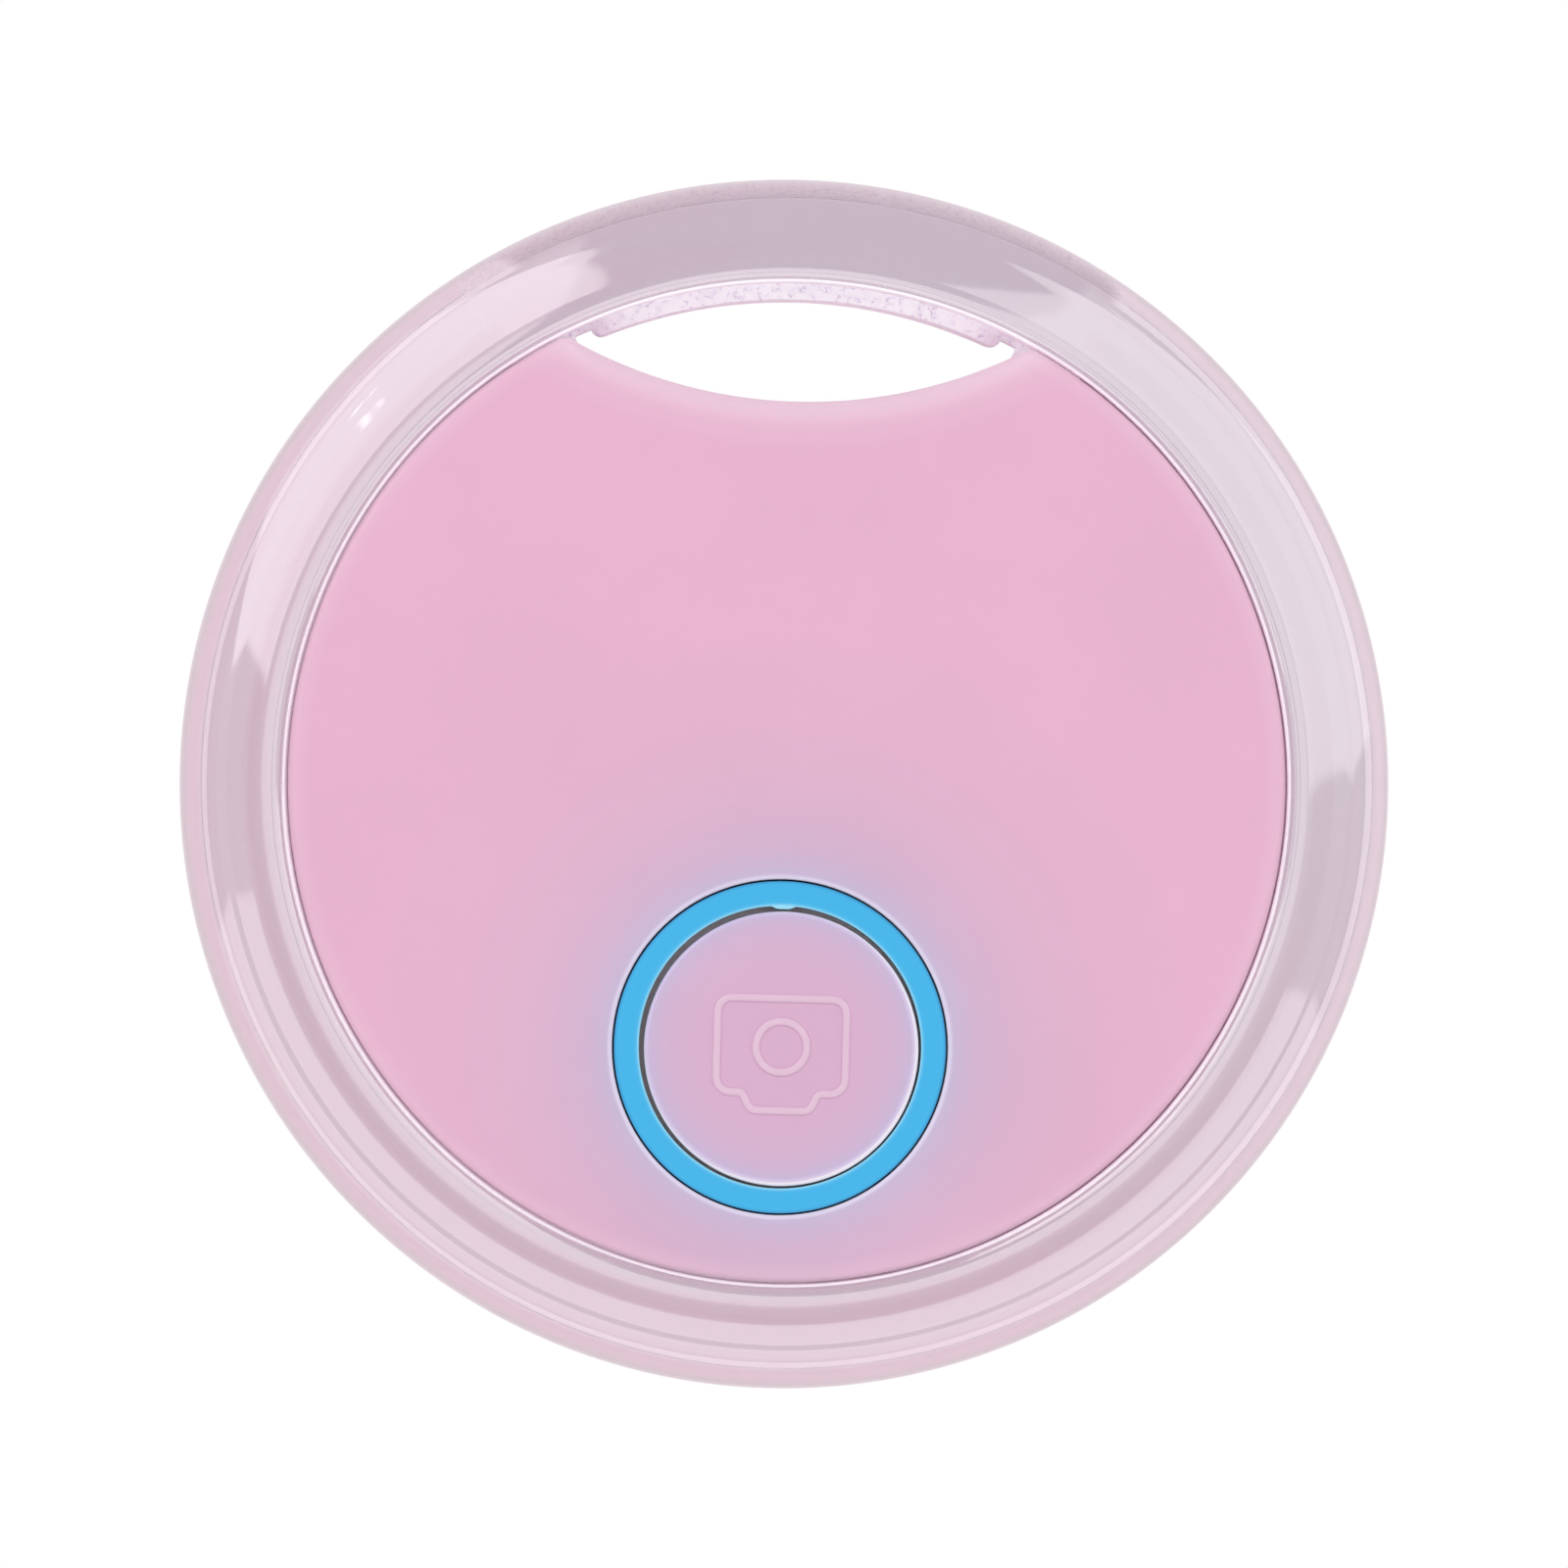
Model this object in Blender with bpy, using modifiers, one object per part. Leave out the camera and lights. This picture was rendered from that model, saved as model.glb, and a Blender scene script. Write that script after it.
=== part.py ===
"""Round bluetooth tracker tag: a clear bumper ring round a pink two-part casing, with a
lens-shaped key-ring opening, a lit push button, and a coin cell behind a screw-out cover.

Each piece is modelled lying flat, with the disc's axis along local Z, the front face at +Z
and the key-ring opening at +Y. The empty "tag" then hangs the disc upright by its opening:
the front faces -Y, the opening is at the top, and the row frame's origin is the point where
a key ring bears. Units are metres.
"""

import math

import bmesh
import bpy
from mathutils import Matrix, Vector

MM = 0.001

# Driving dimensions, in the flat frame. Z is measured from the disc's middle plane.
RING_RADIUS = 19.0 * MM
RING_HALF_HEIGHT = 3.8 * MM
BODY_RADIUS = 15.63 * MM
FACE_Z = 4.0 * MM  # front face of the casing; the rear face is at -FACE_Z
WALL = 1.1 * MM
FIT = 0.15 * MM  # gap between neighbouring pieces
THIN_FIT = 0.05 * MM  # gap where one piece rests on the next

CUT_RADIUS = 15.2 * MM  # the concave arc that forms the opening's lower edge
CUT_CENTRE_Y = 27.16 * MM
TIP_RADIUS = 0.42 * MM

EYE_RADIUS = 15.17 * MM  # inner face of the wear pad that a key ring bears on
EYE_HALF_ANGLE = math.radians(24.5)
PAD_HALF_HEIGHT = 1.6 * MM

FLANGE_RADIUS = 14.95 * MM  # the clear ring's inner flange, gripped by the two shells
FLANGE_HALF_HEIGHT = 0.5 * MM
OPEN_FLANGE_RADIUS = 15.5 * MM
OPEN_FLANGE_HALF_ANGLE = math.radians(26.6)

BUTTON_Y = -8.28 * MM
BUTTON_RADIUS = 4.33 * MM
BUTTON_SHIFT = (0.04 * MM, -0.05 * MM)  # the cap sits a little off centre in its clearance
BUTTON_TOP = FACE_Z + 0.12 * MM
BUTTON_FOOT = 2.5 * MM
BUTTON_FLANGE_RADIUS = 4.85 * MM
ICON_HEIGHT = 0.08 * MM
ICON_STROKE = 0.21 * MM

LIGHT_RADIUS = 5.27 * MM
LIGHT_BORE = 4.45 * MM
LIGHT_FLANGE_RADIUS = 6.15 * MM
LIGHT_SHOULDER_Z = 3.1 * MM

CELL_Y = -1.75 * MM
CELL_RADIUS = 10.0 * MM
CELL_HEIGHT = 3.2 * MM
CELL_BOTTOM = -2.95 * MM

BORE_RADIUS = 11.8 * MM  # battery opening
COLLAR_RADIUS = 13.0 * MM
SEAT_RADIUS = 12.55 * MM
SEAT_Z = -2.95 * MM  # shoulder that the cover's seal presses on
COVER_RADIUS = 12.4 * MM
SKIRT_RADIUS = 11.0 * MM
SKIRT_TOP = -0.95 * MM
THREAD_LEAD = 7.2 * MM
THREAD_STARTS = 3
THREAD_ARC = math.radians(40)
THREAD_THICK = 0.5 * MM
RIB_Z = -2.25 * MM
LUG_Z = -1.63 * MM

BOARD_Z = 0.7 * MM
BOARD_THICK = 0.8 * MM
BOARD_TOP = BOARD_Z + BOARD_THICK
BOARD_INSET = 1.45 * MM
SOLDER = 0.05 * MM  # gap between a component and the board

SCREW_XY = (8.6 * MM, 9.9 * MM)
BOSS_RADIUS = 1.35 * MM

PIEZO_Y = 4.5 * MM
PIEZO_RADIUS = 5.9 * MM

PINK = ("pink_abs", (0.91, 0.70, 0.82), 0.45, 0.0)
CLEAR = ("clear_polycarbonate", (0.86, 0.82, 0.86), 0.10, 0.0)
BLUE = ("light_guide", (0.28, 0.72, 0.92), 0.30, 0.0)
SILICONE = ("silicone", (0.85, 0.85, 0.86), 0.60, 0.0)
BOARD = ("board_resin", (0.06, 0.28, 0.14), 0.45, 0.0)
STEEL = ("stainless_steel", (0.72, 0.72, 0.73), 0.28, 1.0)
BRASS = ("brass", (0.80, 0.62, 0.30), 0.30, 1.0)
GOLD = ("plated_bronze", (0.86, 0.68, 0.36), 0.25, 1.0)
BLACK = ("black_epoxy", (0.03, 0.03, 0.035), 0.50, 0.0)
CERAMIC = ("white_ceramic", (0.88, 0.87, 0.84), 0.45, 0.0)
TAN = ("capacitor_ceramic", (0.55, 0.42, 0.28), 0.50, 0.0)
LED_RESIN = ("led_resin", (0.90, 0.90, 0.82), 0.25, 0.0)
GASKET = ("cell_gasket_nylon", (0.80, 0.80, 0.78), 0.50, 0.0)
TAPE = ("adhesive_tape", (0.90, 0.90, 0.88), 0.70, 0.0)
RED_LEAD = ("red_insulation", (0.70, 0.06, 0.05), 0.45, 0.0)
BLACK_LEAD = ("black_insulation", (0.04, 0.04, 0.04), 0.45, 0.0)

for leftover in list(bpy.data.objects):
    bpy.data.objects.remove(leftover)
parts = bpy.data.collections.new("tracker_tag")
cutters = bpy.data.collections.new("cutters")
for collection in (parts, cutters):
    bpy.context.scene.collection.children.link(collection)

# The disc's centre hangs EYE_RADIUS below the origin, turned so that its front faces -Y.
tag = bpy.data.objects.new("tag", None)
tag.location = (0, 0, -EYE_RADIUS)
tag.rotation_euler = (math.pi / 2, 0, 0)
parts.objects.link(tag)


# Helpers ---------------------------------------------------------------------------------


def material_of(spec):
    name, colour, roughness, metallic = spec
    if name in bpy.data.materials:
        return bpy.data.materials[name]
    material = bpy.data.materials.new(name)
    material.use_nodes = True
    shader = material.node_tree.nodes["Principled BSDF"]
    shader.inputs["Base Color"].default_value = (*colour, 1)
    shader.inputs["Roughness"].default_value = roughness
    shader.inputs["Metallic"].default_value = metallic
    material.diffuse_color = (*colour, 1)
    return material


def place(name, data, spec=None, at=(0, 0, 0), turn=0.0):
    """An object for this mesh or curve. With no material it is a helper that cuts or joins."""
    made = bpy.data.objects.new(name, data)
    made.parent = tag
    made.location = at
    made.rotation_euler = (0, 0, turn)
    if spec:
        parts.objects.link(made)
        data.materials.append(material_of(spec))
    else:
        cutters.objects.link(made)
        made.hide_render = True
        made.display_type = "WIRE"
    return made


def mesh_from(name, work):
    bmesh.ops.recalc_face_normals(work, faces=work.faces)
    mesh = bpy.data.meshes.new(name)
    work.to_mesh(mesh)
    work.free()
    mesh.shade_smooth()
    mesh.set_sharp_from_angle(angle=math.radians(35))
    return mesh


def boolean(target, operation, *others):
    for other in others:
        modifier = target.modifiers.new(f"{operation.lower()} {other.name}", "BOOLEAN")
        modifier.operation = operation
        modifier.solver = "EXACT"
        modifier.object = other
    return target


def cut(target, *others):
    return boolean(target, "DIFFERENCE", *others)


def join(target, *others):
    return boolean(target, "UNION", *others)


def arc(centre, radius, start, end, steps):
    """Points along a circle from one angle to another, both ends included."""
    angles = [start + (end - start) * i / steps for i in range(steps + 1)]
    return [(centre[0] + radius * math.cos(a), centre[1] + radius * math.sin(a)) for a in angles]


def rounded(corners, steps=3):
    """A closed outline from (x, y, radius) corners, each rounded by its radius."""
    points = []
    for i, (x, y, radius) in enumerate(corners):
        here = Vector((x, y))
        if radius <= 0:
            points.append((x, y))
            continue
        to_last = (Vector(corners[i - 1][:2]) - here).normalized()
        to_next = (Vector(corners[(i + 1) % len(corners)][:2]) - here).normalized()
        half = to_last.angle(to_next) / 2
        centre = here + (to_last + to_next).normalized() * (radius / math.sin(half))
        first = here + to_last * (radius / math.tan(half)) - centre
        last = here + to_next * (radius / math.tan(half)) - centre
        sweep = first.angle_signed(last)
        for k in range(steps + 1):
            spoke = first.copy()
            spoke.rotate(Matrix.Rotation(-sweep * k / steps, 2))
            points.append(tuple(centre + spoke))
    return points


def turned(name, profile, spec=None, at=(0, 0, 0), steps=64):
    """A profile of (radius, z) points turned round Z. It runs down its outer side."""
    closed = min(r for r, _ in profile) > 0
    mesh = bpy.data.meshes.new(name)
    edges = [(i, i + 1) for i in range(len(profile) - 1)]
    if closed:
        edges.append((len(profile) - 1, 0))
    mesh.from_pydata([(r, 0, z) for r, z in profile], edges, [])
    made = place(name, mesh, spec, at)
    screw = made.modifiers.new("turn", "SCREW")
    screw.steps = screw.render_steps = steps
    screw.use_merge_vertices = True
    screw.merge_threshold = 1e-6
    screw.use_smooth_shade = True
    return made


def washer(inner, outer, low, high):
    """Profile of a ring of rectangular section."""
    return [(inner, high), (outer, high), (outer, low), (inner, low)]


def prism(name, outline, low, high, spec=None, at=(0, 0, 0), top=0.0, bottom=0.0, turn=0.0):
    """An outline extruded from low to high, with its top or bottom edge rounded."""
    work = bmesh.new()
    face = work.faces.new([work.verts.new((x, y, low)) for x, y in outline])
    raised = bmesh.ops.extrude_face_region(work, geom=[face])["geom"]
    raised = [v for v in raised if isinstance(v, bmesh.types.BMVert)]
    bmesh.ops.translate(work, verts=raised, vec=(0, 0, high - low))
    bmesh.ops.recalc_face_normals(work, faces=work.faces)
    for level, radius in ((high, top), (low, bottom)):
        if radius:
            rim = [e for e in work.edges if all(abs(v.co.z - level) < 1e-7 for v in e.verts)]
            bmesh.ops.bevel(
                work, geom=rim, offset=radius, segments=3, profile=0.5, affect="EDGES",
                clamp_overlap=True,
            )
    return place(name, mesh_from(name, work), spec, at, turn)


def rod(name, radius, low, high, spec=None, at=(0, 0, 0), sides=24):
    """A round rod along Z."""
    work = bmesh.new()
    bmesh.ops.create_cone(
        work, cap_ends=True, segments=sides, radius1=radius, radius2=radius, depth=high - low,
        matrix=Matrix.Translation((0, 0, (low + high) / 2)),
    )
    return place(name, mesh_from(name, work), spec, at)


def block(name, size, low, spec=None, at=(0, 0), turn=0.0, round_edges=0.0):
    """A box of this size, standing on the plane z = low."""
    work = bmesh.new()
    scale = Matrix.Diagonal((*size, 1))
    bmesh.ops.create_cube(work, size=1, matrix=Matrix.Translation((0, 0, size[2] / 2)) @ scale)
    if round_edges:
        bmesh.ops.bevel(
            work, geom=list(work.edges), offset=round_edges, segments=1, profile=0.5,
            affect="EDGES",
        )
    return place(name, mesh_from(name, work), spec, (*at, low), turn)


def arc_block(name, inner, outer, low, high, middle, half_angle, at=(0, 0, 0), lead=0.0, steps=12):
    """A sector of a ring. With a lead it climbs as it turns, as one thread lug does."""
    work = bmesh.new()
    start = -half_angle
    section = [(inner, low), (outer, low), (outer, high), (inner, high)]
    fall = lead * half_angle / math.tau
    face = work.faces.new([work.verts.new((r, 0, z - fall)) for r, z in section])
    bmesh.ops.rotate(work, verts=work.verts, matrix=Matrix.Rotation(start, 3, "Z"))
    rise = (0, 0, lead * 2 * half_angle / math.tau / steps)
    bmesh.ops.spin(
        work, geom=[face], cent=(0, 0, 0), axis=(0, 0, 1), dvec=rise, angle=2 * half_angle,
        steps=steps, use_duplicate=False,
    )
    return place(name, mesh_from(name, work), None, at, middle)


def as_mesh(name, curve_object, spec):
    """The curve's evaluated mesh with its caps welded, as a part of its own."""
    bpy.context.view_layer.update()
    graph = bpy.context.evaluated_depsgraph_get()
    mesh = bpy.data.meshes.new_from_object(curve_object.evaluated_get(graph))
    work = bmesh.new()
    work.from_mesh(mesh)
    bmesh.ops.remove_doubles(work, verts=work.verts, dist=1e-7)
    bpy.data.meshes.remove(mesh)
    made = place(name, mesh_from(name, work), spec)
    made.matrix_world = curve_object.matrix_world
    bpy.data.objects.remove(curve_object)
    return made


# Outlines --------------------------------------------------------------------------------


def body_outline(inset=0.0, tip=TIP_RADIUS, steps=60):
    """The casing's outline: a disc with a concave bite at +Y and two rounded tips."""
    radius = BODY_RADIUS - inset
    bite = CUT_RADIUS + inset
    # The tip's circle touches the disc's edge from inside and the bite's edge from outside.
    from_disc = radius - tip
    from_bite = bite + tip
    y = (from_disc**2 - from_bite**2 + CUT_CENTRE_Y**2) / (2 * CUT_CENTRE_Y)
    x = math.sqrt(from_disc**2 - y**2)
    edge = math.atan2(y, x)  # where the disc's arc gives way to the right-hand tip
    dip = math.atan2(y - CUT_CENTRE_Y, x)  # where the tip gives way to the bite
    outline = arc((0, 0), radius, math.pi - edge, math.tau + edge, steps)
    outline += arc((x, y), tip, edge, dip + math.pi, 4)[1:]
    outline += arc((0, CUT_CENTRE_Y), bite, dip, -math.pi - dip, 16)[1:]
    outline += arc((-x, y), tip, -dip, math.pi - edge, 4)[1:-1]
    return outline


def band(middle_line, width):
    """Outer and inner outlines of a stroke of this width along a closed line."""
    sides = ([], [])
    count = len(middle_line)
    for i, point in enumerate(middle_line):
        here = Vector(point)
        before = (here - Vector(middle_line[i - 1])).normalized()
        after = (Vector(middle_line[(i + 1) % count]) - here).normalized()
        normal = Vector((before.y + after.y, -before.x - after.x)).normalized()
        reach = width / 2 / max(normal.dot(Vector((before.y, -before.x))), 0.5)
        sides[0].append(tuple(here + normal * reach))
        sides[1].append(tuple(here - normal * reach))
    return sides


def camera_outline():
    """Middle line of the generic camera pictogram, which is upside down on the button."""
    half, top, bottom = 2.02 * MM, 1.58 * MM, -1.38 * MM
    hump_bottom, hump_wide, hump_narrow = -1.94 * MM, 1.12 * MM, 0.78 * MM
    corner, small = 0.45 * MM, 0.12 * MM
    return rounded([
        (-half, top, corner), (-half, bottom, corner), (-hump_wide, bottom, small),
        (-hump_narrow, hump_bottom, small * 2), (hump_narrow, hump_bottom, small * 2),
        (hump_wide, bottom, small), (half, bottom, corner), (half, top, corner),
    ])


def raised_band(name, middle_line, low, high, at):
    """A stroke standing on a face: a 2D curve of two outlines, filled between them."""
    curve = bpy.data.curves.new(name, "CURVE")
    curve.dimensions = "2D"
    curve.fill_mode = "BOTH"
    curve.extrude = (high - low) / 2
    for side in band(middle_line, ICON_STROKE):
        spline = curve.splines.new("POLY")
        spline.points.add(len(side) - 1)
        spline.use_cyclic_u = True
        for point, (x, y) in zip(spline.points, side):
            point.co = (x, y, 0, 1)
    flat = place(name + "_line", curve, None, (*at, (low + high) / 2))
    return as_mesh(name, flat, None)


# The clear ring --------------------------------------------------------------------------


def clear_ring():
    bore = BODY_RADIUS + FIT
    crown = 16.2 * MM
    chamfer = 0.25 * MM
    steps = 8
    outer = []
    for i in range(2 * steps + 1):
        angle = math.pi / 2 * (1 - i / steps)
        bulge = abs(math.cos(angle)) ** 0.88
        height = math.copysign(abs(math.sin(angle)) ** 0.88, math.sin(angle))
        outer.append((crown + (RING_RADIUS - crown) * bulge, RING_HALF_HEIGHT * height))
    profile = [(bore + chamfer, RING_HALF_HEIGHT), *outer, (bore + chamfer, -RING_HALF_HEIGHT)]
    profile += [
        (bore, -RING_HALF_HEIGHT + chamfer), (bore, -FLANGE_HALF_HEIGHT),
        (FLANGE_RADIUS, -FLANGE_HALF_HEIGHT), (FLANGE_RADIUS, FLANGE_HALF_HEIGHT),
        (bore, FLANGE_HALF_HEIGHT), (bore, RING_HALF_HEIGHT - chamfer),
    ]
    ring = turned("clear_ring", profile, CLEAR, steps=80)
    window = arc_block(
        "eye_window", FLANGE_RADIUS - MM, OPEN_FLANGE_RADIUS, -MM, MM, math.pi / 2,
        OPEN_FLANGE_HALF_ANGLE,
    )
    pad = arc_block(
        "eye_pad", EYE_RADIUS, bore + 0.4 * MM, -PAD_HALF_HEIGHT, PAD_HALF_HEIGHT, math.pi / 2,
        EYE_HALF_ANGLE, steps=16,
    )
    bevel = pad.modifiers.new("soft edges", "BEVEL")
    bevel.width = 0.25 * MM
    bevel.segments = 2
    bevel.limit_method = "ANGLE"
    bevel.angle_limit = math.radians(40)
    cut(ring, window)
    join(ring, pad)


# Casing ----------------------------------------------------------------------------------


def front_shell():
    low = FLANGE_HALF_HEIGHT + THIN_FIT
    shell = prism("front_shell", body_outline(), low, FACE_Z, PINK, top=0.35 * MM)
    cavity = prism("front_cavity", body_outline(WALL), low - MM, FACE_Z - WALL)
    hole_radius = LIGHT_RADIUS + 0.08 * MM
    chamfer = 0.1 * MM
    hole = turned(
        "button_hole",
        [
            (0, FACE_Z + chamfer), (hole_radius + 2 * chamfer, FACE_Z + chamfer),
            (hole_radius, FACE_Z - chamfer), (hole_radius, FACE_Z - WALL - MM),
            (0, FACE_Z - WALL - MM),
        ],
        at=(0, BUTTON_Y, 0), steps=64,
    )
    cut(shell, cavity)
    for side, sign in (("left", -1), ("right", 1)):
        spot = (sign * SCREW_XY[0], SCREW_XY[1], 0)
        boss = rod(f"front_boss_{side}", BOSS_RADIUS, -MM, FACE_Z - WALL / 2, at=spot)
        pilot = rod(f"pilot_{side}", 0.6 * MM, -2 * MM, 1.9 * MM, at=spot, sides=16)
        join(shell, boss)
        cut(shell, pilot)
    for i, degrees in enumerate((190, 236, 304, 350)):
        reach = 13.2 * MM
        angle = math.radians(degrees)
        spot = (reach * math.cos(angle), reach * math.sin(angle), 0)
        post_low = BOARD_TOP + THIN_FIT
        post = rod(f"board_post_{i}", 0.55 * MM, post_low, FACE_Z - WALL / 2, at=spot, sides=16)
        join(shell, post)
    cut(shell, hole)


def rear_shell():
    high = -FLANGE_HALF_HEIGHT - THIN_FIT
    shell = prism("rear_shell", body_outline(), -FACE_Z, high, PINK, bottom=0.35 * MM)
    cavity = prism("rear_cavity", body_outline(WALL), -FACE_Z + WALL, high + MM)
    centre = (0, CELL_Y, 0)
    bore = rod("battery_bore", BORE_RADIUS, -FACE_Z - MM, FACE_Z, at=centre, sides=72)
    seat = rod("seal_seat", SEAT_RADIUS, -FACE_Z - MM, SEAT_Z, at=centre, sides=72)
    cut(shell, cavity)
    # The collar round the battery: it grows out of the outer wall low down, and higher up it
    # steps in to pass inside the front shell and carry the board.
    steps = (("low", WALL * 0.6, -FACE_Z + WALL / 2, high - 0.2 * MM, COLLAR_RADIUS),
             ("high", WALL + FIT, high - 0.5 * MM, BOARD_Z - THIN_FIT, COLLAR_RADIUS - 0.1 * MM))
    for name, inset, bottom, top, radius in steps:
        collar = prism(f"collar_{name}", body_outline(inset), bottom, top)
        tube = rod(f"tube_{name}", radius, -FACE_Z - MM, FACE_Z, at=centre, sides=72)
        join(shell, boolean(collar, "INTERSECT", tube))
    for side, sign in (("left", -1), ("right", 1)):
        spot = (sign * SCREW_XY[0], SCREW_XY[1], 0)
        join(shell, rod(f"rear_boss_{side}", 1.9 * MM, -FACE_Z + WALL / 2, -1.15 * MM, at=spot))
        cut(
            shell,
            rod(f"head_recess_{side}", 1.4 * MM, -FACE_Z - MM, -2.7 * MM, at=spot),
            rod(f"screw_way_{side}", 0.85 * MM, -FACE_Z, 0, at=spot, sides=16),
        )
    cut(shell, bore, seat)
    for k in range(THREAD_STARTS):
        rib = arc_block(
            f"thread_rib_{k}", BORE_RADIUS - 0.65 * MM, BORE_RADIUS + 0.3 * MM,
            RIB_Z - THREAD_THICK / 2, RIB_Z + THREAD_THICK / 2, math.tau * k / THREAD_STARTS,
            THREAD_ARC / 2, at=centre, lead=THREAD_LEAD, steps=8,
        )
        join(shell, rib)


def case_screws():
    for side, sign in (("left", -1), ("right", 1)):
        spot = (sign * SCREW_XY[0], SCREW_XY[1], 0)
        head, shank = 1.2 * MM, 0.5 * MM
        under_head, top = -2.75 * MM, 1.6 * MM
        screw = turned(
            f"case_screw_{side}",
            [
                (0, top), (shank * 0.4, top), (shank, top - 0.5 * MM), (shank, under_head),
                (head, under_head), (head, under_head - 0.45 * MM),
                (head * 0.75, under_head - 0.7 * MM), (0, under_head - 0.7 * MM),
            ],
            STEEL, at=spot, steps=20,
        )
        for name, turn in (("a", 0.0), ("b", math.pi / 2)):
            slot = block(
                f"cross_{side}_{name}", (1.5 * MM, 0.3 * MM, 0.6 * MM), -3.8 * MM,
                at=spot[:2], turn=turn,
            )
            cut(screw, slot)


# Battery cover ---------------------------------------------------------------------------


def battery_cover():
    low, inner = -FACE_Z + 0.1 * MM, -3.1 * MM
    lip_top = low + 0.4 * MM
    edge = 0.12 * MM
    bay = SKIRT_RADIUS - 0.65 * MM
    centre = (0, CELL_Y, 0)
    cover = turned(
        "battery_cover",
        [
            (0, inner), (bay, inner), (bay, SKIRT_TOP), (SKIRT_RADIUS, SKIRT_TOP),
            (SKIRT_RADIUS, lip_top), (COVER_RADIUS, lip_top), (COVER_RADIUS, low + edge),
            (COVER_RADIUS - edge, low), (0, low),
        ],
        PINK, at=centre, steps=72,
    )
    for k in range(THREAD_STARTS):
        lug = arc_block(
            f"cover_lug_{k}", SKIRT_RADIUS - 0.3 * MM, BORE_RADIUS - FIT,
            LUG_Z - THREAD_THICK / 2, LUG_Z + THREAD_THICK / 2, math.tau * k / THREAD_STARTS,
            THREAD_ARC / 2, at=centre, lead=THREAD_LEAD, steps=8,
        )
        join(cover, lug)
    half_length, half_width = 6.5 * MM, 0.85 * MM
    slot = rounded(
        [
            (half_length, half_width, half_width * 0.98),
            (-half_length, half_width, half_width * 0.98),
            (-half_length, -half_width, half_width * 0.98),
            (half_length, -half_width, half_width * 0.98),
        ],
        steps=4,
    )
    coin_slot = prism("coin_slot", slot, low - MM, low + 0.42 * MM, at=centre)
    cut(cover, coin_slot)


def cover_seal():
    thick = 0.26 * MM
    bpy.ops.mesh.primitive_torus_add(
        major_radius=12.1 * MM, minor_radius=thick, major_segments=56, minor_segments=6,
    )
    donor = bpy.context.object
    mesh = donor.data
    bpy.data.objects.remove(donor)
    place("cover_seal", mesh, SILICONE, (0, CELL_Y, SEAT_Z - thick - 0.01 * MM))


# Button and light guide ------------------------------------------------------------------


def button_cap():
    edge = 0.12 * MM
    shoulder = LIGHT_SHOULDER_Z - FIT
    inner, post, roof = 3.3 * MM, 0.9 * MM, 3.1 * MM
    spot = (BUTTON_SHIFT[0], BUTTON_Y + BUTTON_SHIFT[1])
    cap = turned(
        "button_cap",
        [
            (0, BUTTON_TOP), (BUTTON_RADIUS - edge, BUTTON_TOP),
            (BUTTON_RADIUS, BUTTON_TOP - edge), (BUTTON_RADIUS, shoulder),
            (BUTTON_FLANGE_RADIUS, shoulder), (BUTTON_FLANGE_RADIUS, BUTTON_FOOT),
            (inner, BUTTON_FOOT), (inner, roof), (post, roof), (post, BUTTON_FOOT),
            (0, BUTTON_FOOT),
        ],
        PINK, at=(*spot, 0), steps=64,
    )
    low, high = BUTTON_TOP - 0.1 * MM, BUTTON_TOP + ICON_HEIGHT
    lens = arc((0, 0.06 * MM), 0.8 * MM, 0, math.tau, 24)[:-1]
    join(
        cap,
        raised_band("icon_camera", camera_outline(), low, high, spot),
        raised_band("icon_lens", lens, low, high, spot),
    )


def light_ring():
    top = FACE_Z - 0.05 * MM
    flange_top = FACE_Z - WALL - 0.1 * MM
    flange_low = 2.3 * MM
    ring = turned(
        "light_ring",
        [
            (LIGHT_BORE, top), (LIGHT_RADIUS, top), (LIGHT_RADIUS, flange_top),
            (LIGHT_FLANGE_RADIUS, flange_top), (LIGHT_FLANGE_RADIUS, flange_low),
            (BUTTON_FLANGE_RADIUS + FIT, flange_low),
            (BUTTON_FLANGE_RADIUS + FIT, LIGHT_SHOULDER_Z),
            (LIGHT_BORE, LIGHT_SHOULDER_Z),
        ],
        BLUE, at=(0, BUTTON_Y, 0), steps=64,
    )
    # The locating key: a small bump on the bore at twelve o'clock.
    key = rod(
        "light_key", 0.42 * MM, LIGHT_SHOULDER_Z + 0.2 * MM, top - 0.02 * MM,
        at=(0, BUTTON_Y + LIGHT_BORE + 0.33 * MM, 0), sides=20,
    )
    join(ring, key)


def leds():
    reach = 5.65 * MM
    for i, degrees in enumerate((45, 135, 225, 315)):
        angle = math.radians(degrees)
        spot = (reach * math.cos(angle), BUTTON_Y + reach * math.sin(angle))
        block(
            f"led_{i + 1}", (0.8 * MM, 1.6 * MM, 0.6 * MM), BOARD_TOP + SOLDER, LED_RESIN, spot,
            angle, round_edges=0.06 * MM,
        )


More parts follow.
